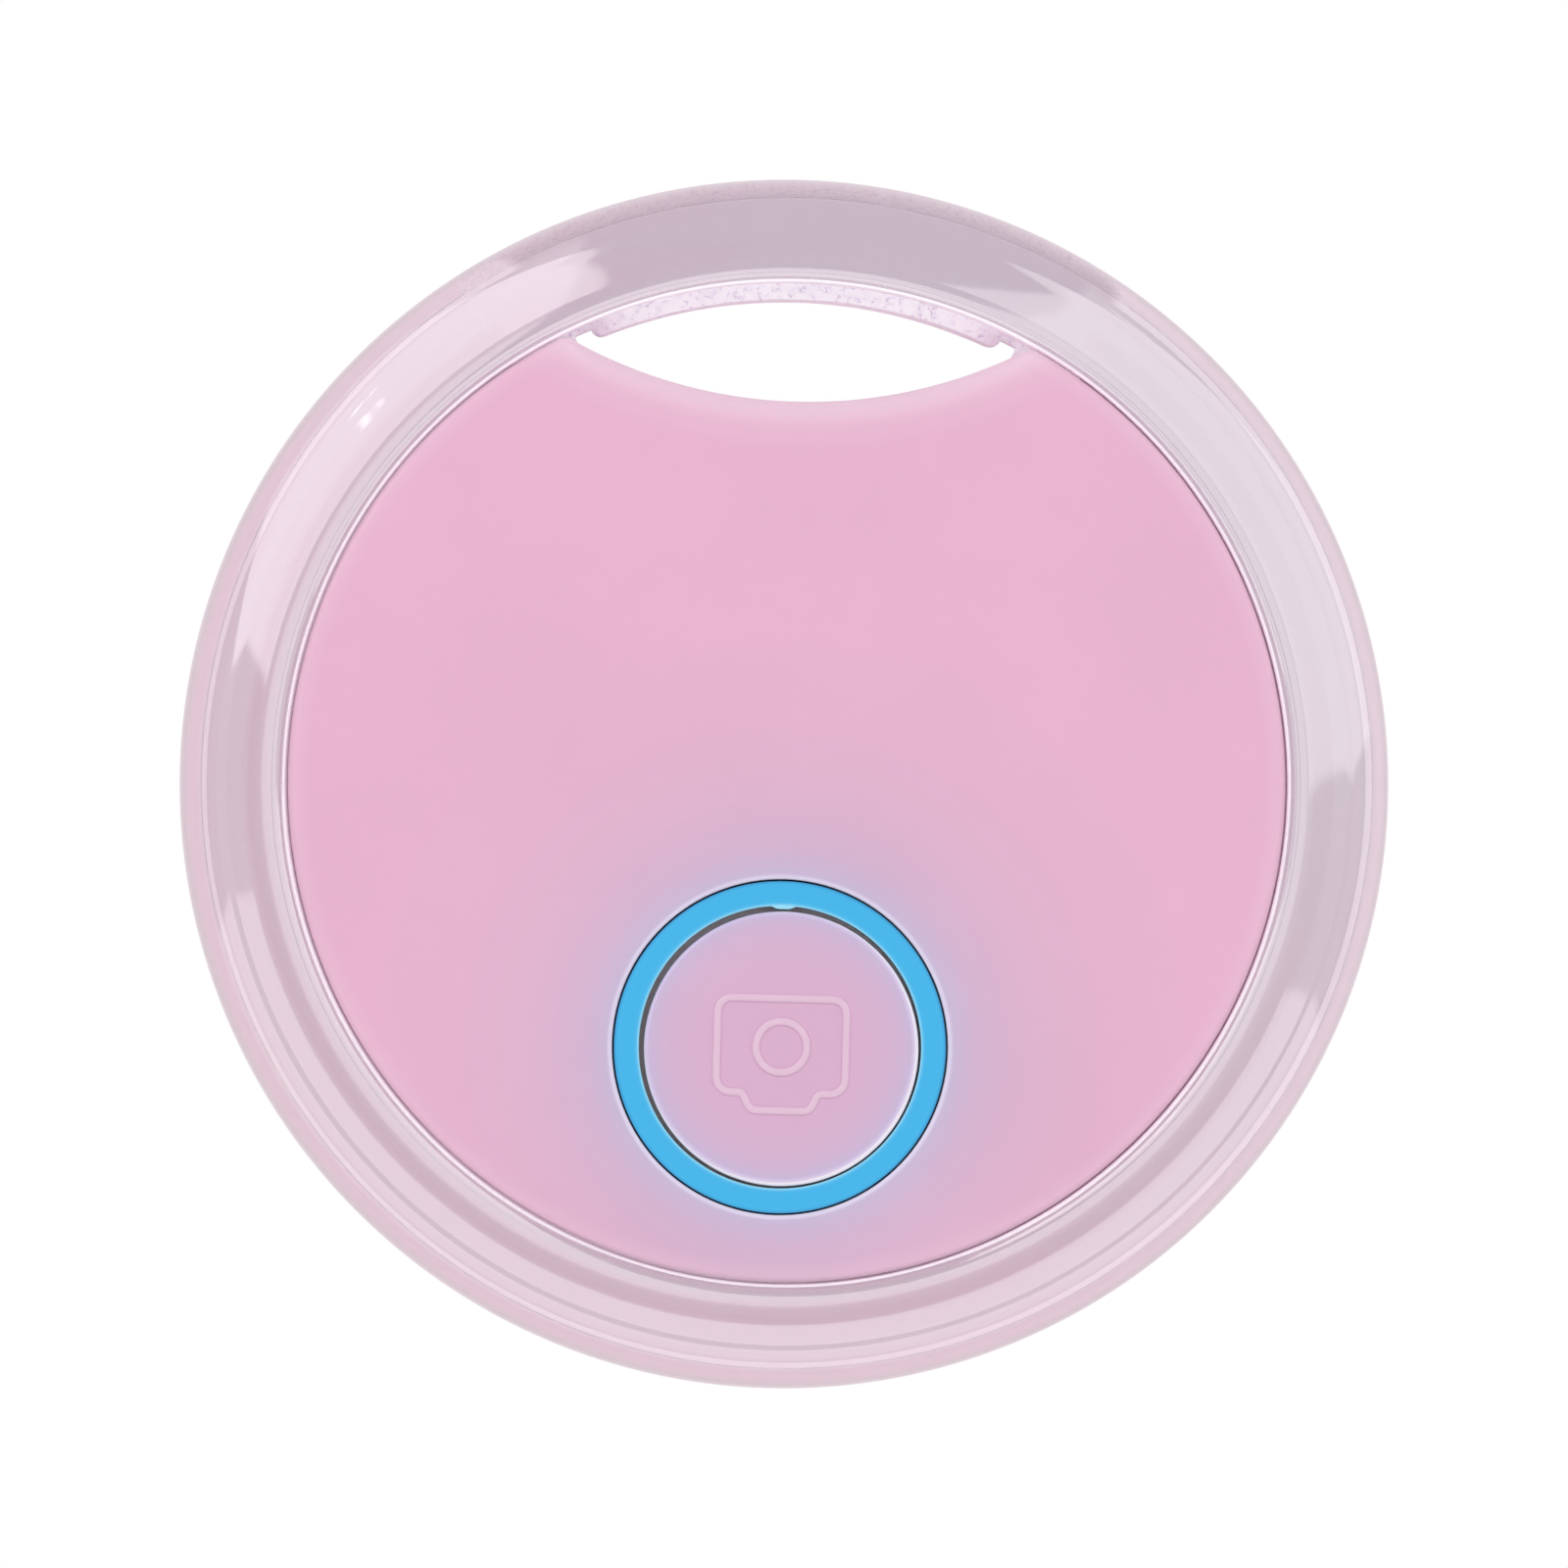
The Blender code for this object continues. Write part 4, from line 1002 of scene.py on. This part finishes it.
# The softboxes are drawn in the world, for reflections only, as sectors round the tag's axis:
# (middle and half width in degrees round from +X, drift of each with every degree off the front
# axis, nearest and farthest degrees off that axis, width of the fade at the far end,
# brightness). Where they overlap they add up.
SOFTBOXES = (
    (265, 155, 0.0, 0.0, 0.5, 10.0, 1.5, 0.9),
    (265, 155, 0.0, 0.0, 0.5, 125.0, 60.0, 0.8),
    (136, 34, 0.045, -0.19, 11.5, 125.0, 60.0, 1.9),
    (37, 35, -0.155, -0.19, 9.5, 125.0, 60.0, 1.4),
    (267, 76, 0.0, -0.04, 20.0, 125.0, 60.0, 1.2),
    (267, 150, 0.0, 0.0, 86.0, 160.0, 50.0, 1.2),
    (135.9, 0.8, 0.0, 0.0, 26.0, 37.0, 2.0, 4.0),
    (138.2, 1.1, 0.0, 0.0, 25.0, 36.0, 2.0, 4.0),
    (54, 3.0, 0.0, 0.0, 55.0, 62.0, 2.0, 1.5),
)
SIDE_SHARPNESS, NEAR_SHARPNESS = 0.8, 1.2  # share gained per degree, at the sectors' edges
REFLECTED = 0.54  # brightness of the studio in reflections, away from the softboxes
BACKDROP = 0.24  # how much brighter and pinker reflections are of what stands behind the tag
BACKDROP_TINT = (1.0, 0.87, 0.94, 1)
BACKDROP_FROM, BACKDROP_FADE = 95.0, 30  # degrees off the front axis
RAY_LEVELS = (("Is Transmission Ray", 0.68), ("Is Diffuse Ray", 0.70), ("Is Camera Ray", 1.0))
world = bpy.data.worlds.new("studio")
bpy.context.scene.world = world
world.use_nodes = True
world.cycles.sampling_method = "NONE"  # so that each kind of ray sees its own brightness
world_nodes, world_links = world.node_tree.nodes, world.node_tree.links


def calc(operation, *values, clamp=False):
    made = world_nodes.new("ShaderNodeMath")
    made.operation, made.use_clamp = operation, clamp
    for socket, value in zip(made.inputs, values):
        if isinstance(value, bpy.types.NodeSocket):
            world_links.new(value, socket)
        else:
            socket.default_value = value
    return made.outputs[0]


way = world_nodes.new("ShaderNodeSeparateXYZ")
world_links.new(world_nodes.new("ShaderNodeTexCoord").outputs["Generated"], way.inputs[0])
off_axis = calc("SUBTRACT", 180.0, calc("DEGREES", calc("ARCCOSINE", way.outputs[1])))
round_axis = calc("DEGREES", calc("ARCTAN2", way.outputs[2], way.outputs[0]))
past = calc("SUBTRACT", off_axis, BACKDROP_FROM)
behind = calc("MULTIPLY", past, 1 / BACKDROP_FADE, clamp=True)
glow = calc("ADD", REFLECTED, calc("MULTIPLY", behind, BACKDROP))
for middle, half, drift, slant, nearest, farthest, fade, brightness in SOFTBOXES:
    centre = calc("ADD", middle, calc("MULTIPLY", off_axis, drift))
    apart = calc("ABSOLUTE", calc("WRAP", calc("SUBTRACT", round_axis, centre), 180.0, -180.0))
    reach = calc("ADD", half, calc("MULTIPLY", off_axis, slant))
    inside = calc("MULTIPLY", calc("SUBTRACT", reach, apart), SIDE_SHARPNESS, clamp=True)
    beyond = calc("MULTIPLY", calc("SUBTRACT", off_axis, nearest), NEAR_SHARPNESS, clamp=True)
    before = calc("MULTIPLY", calc("SUBTRACT", farthest, off_axis), 1 / fade, clamp=True)
    share = calc("MULTIPLY", calc("MULTIPLY", inside, beyond), before)
    glow = calc("ADD", glow, calc("MULTIPLY", share, brightness))

path = world_nodes.new("ShaderNodeLightPath")
seen = glow
for ray, level in RAY_LEVELS:
    keep = calc("SUBTRACT", 1.0, path.outputs[ray])
    seen = calc("ADD", calc("MULTIPLY", seen, keep), calc("MULTIPLY", path.outputs[ray], level))
world_links.new(seen, world_nodes["Background"].inputs["Strength"])
shade = world_nodes.new("ShaderNodeMix")
shade.data_type = "RGBA"
shade.inputs[6].default_value, shade.inputs[7].default_value = (1, 1, 1, 1), BACKDROP_TINT
world_links.new(calc("MULTIPLY", behind, path.outputs["Is Glossy Ray"]), shade.inputs[0])
world_links.new(shade.outputs[2], world_nodes["Background"].inputs["Color"])

AZIMUTH, ELEVATION, ROLL = math.radians(-1.28), math.radians(-0.49), math.radians(1.5)
PICTURE_WIDTH = 49.3 * MM  # how much of the disc's plane the picture spans
camera = bpy.data.cameras.new("camera")
camera.lens = 800
camera.sensor_width = 36
view = bpy.data.objects.new("camera", camera)
bpy.context.scene.collection.objects.link(view)
back = Vector((
    math.sin(AZIMUTH) * math.cos(ELEVATION), -math.cos(AZIMUTH) * math.cos(ELEVATION),
    math.sin(ELEVATION),
))
view.rotation_mode = "QUATERNION"
view.location = CENTRE + back * (PICTURE_WIDTH * camera.lens / camera.sensor_width)
aim = (-back).to_track_quat("-Z", "Y").to_matrix() @ Matrix.Rotation(ROLL, 3, "Z")
view.rotation_quaternion = aim.to_quaternion()
camera.clip_start = 0.01
camera.clip_end = 50
bpy.context.scene.camera = view
bpy.context.scene.view_settings.view_transform = "Standard"
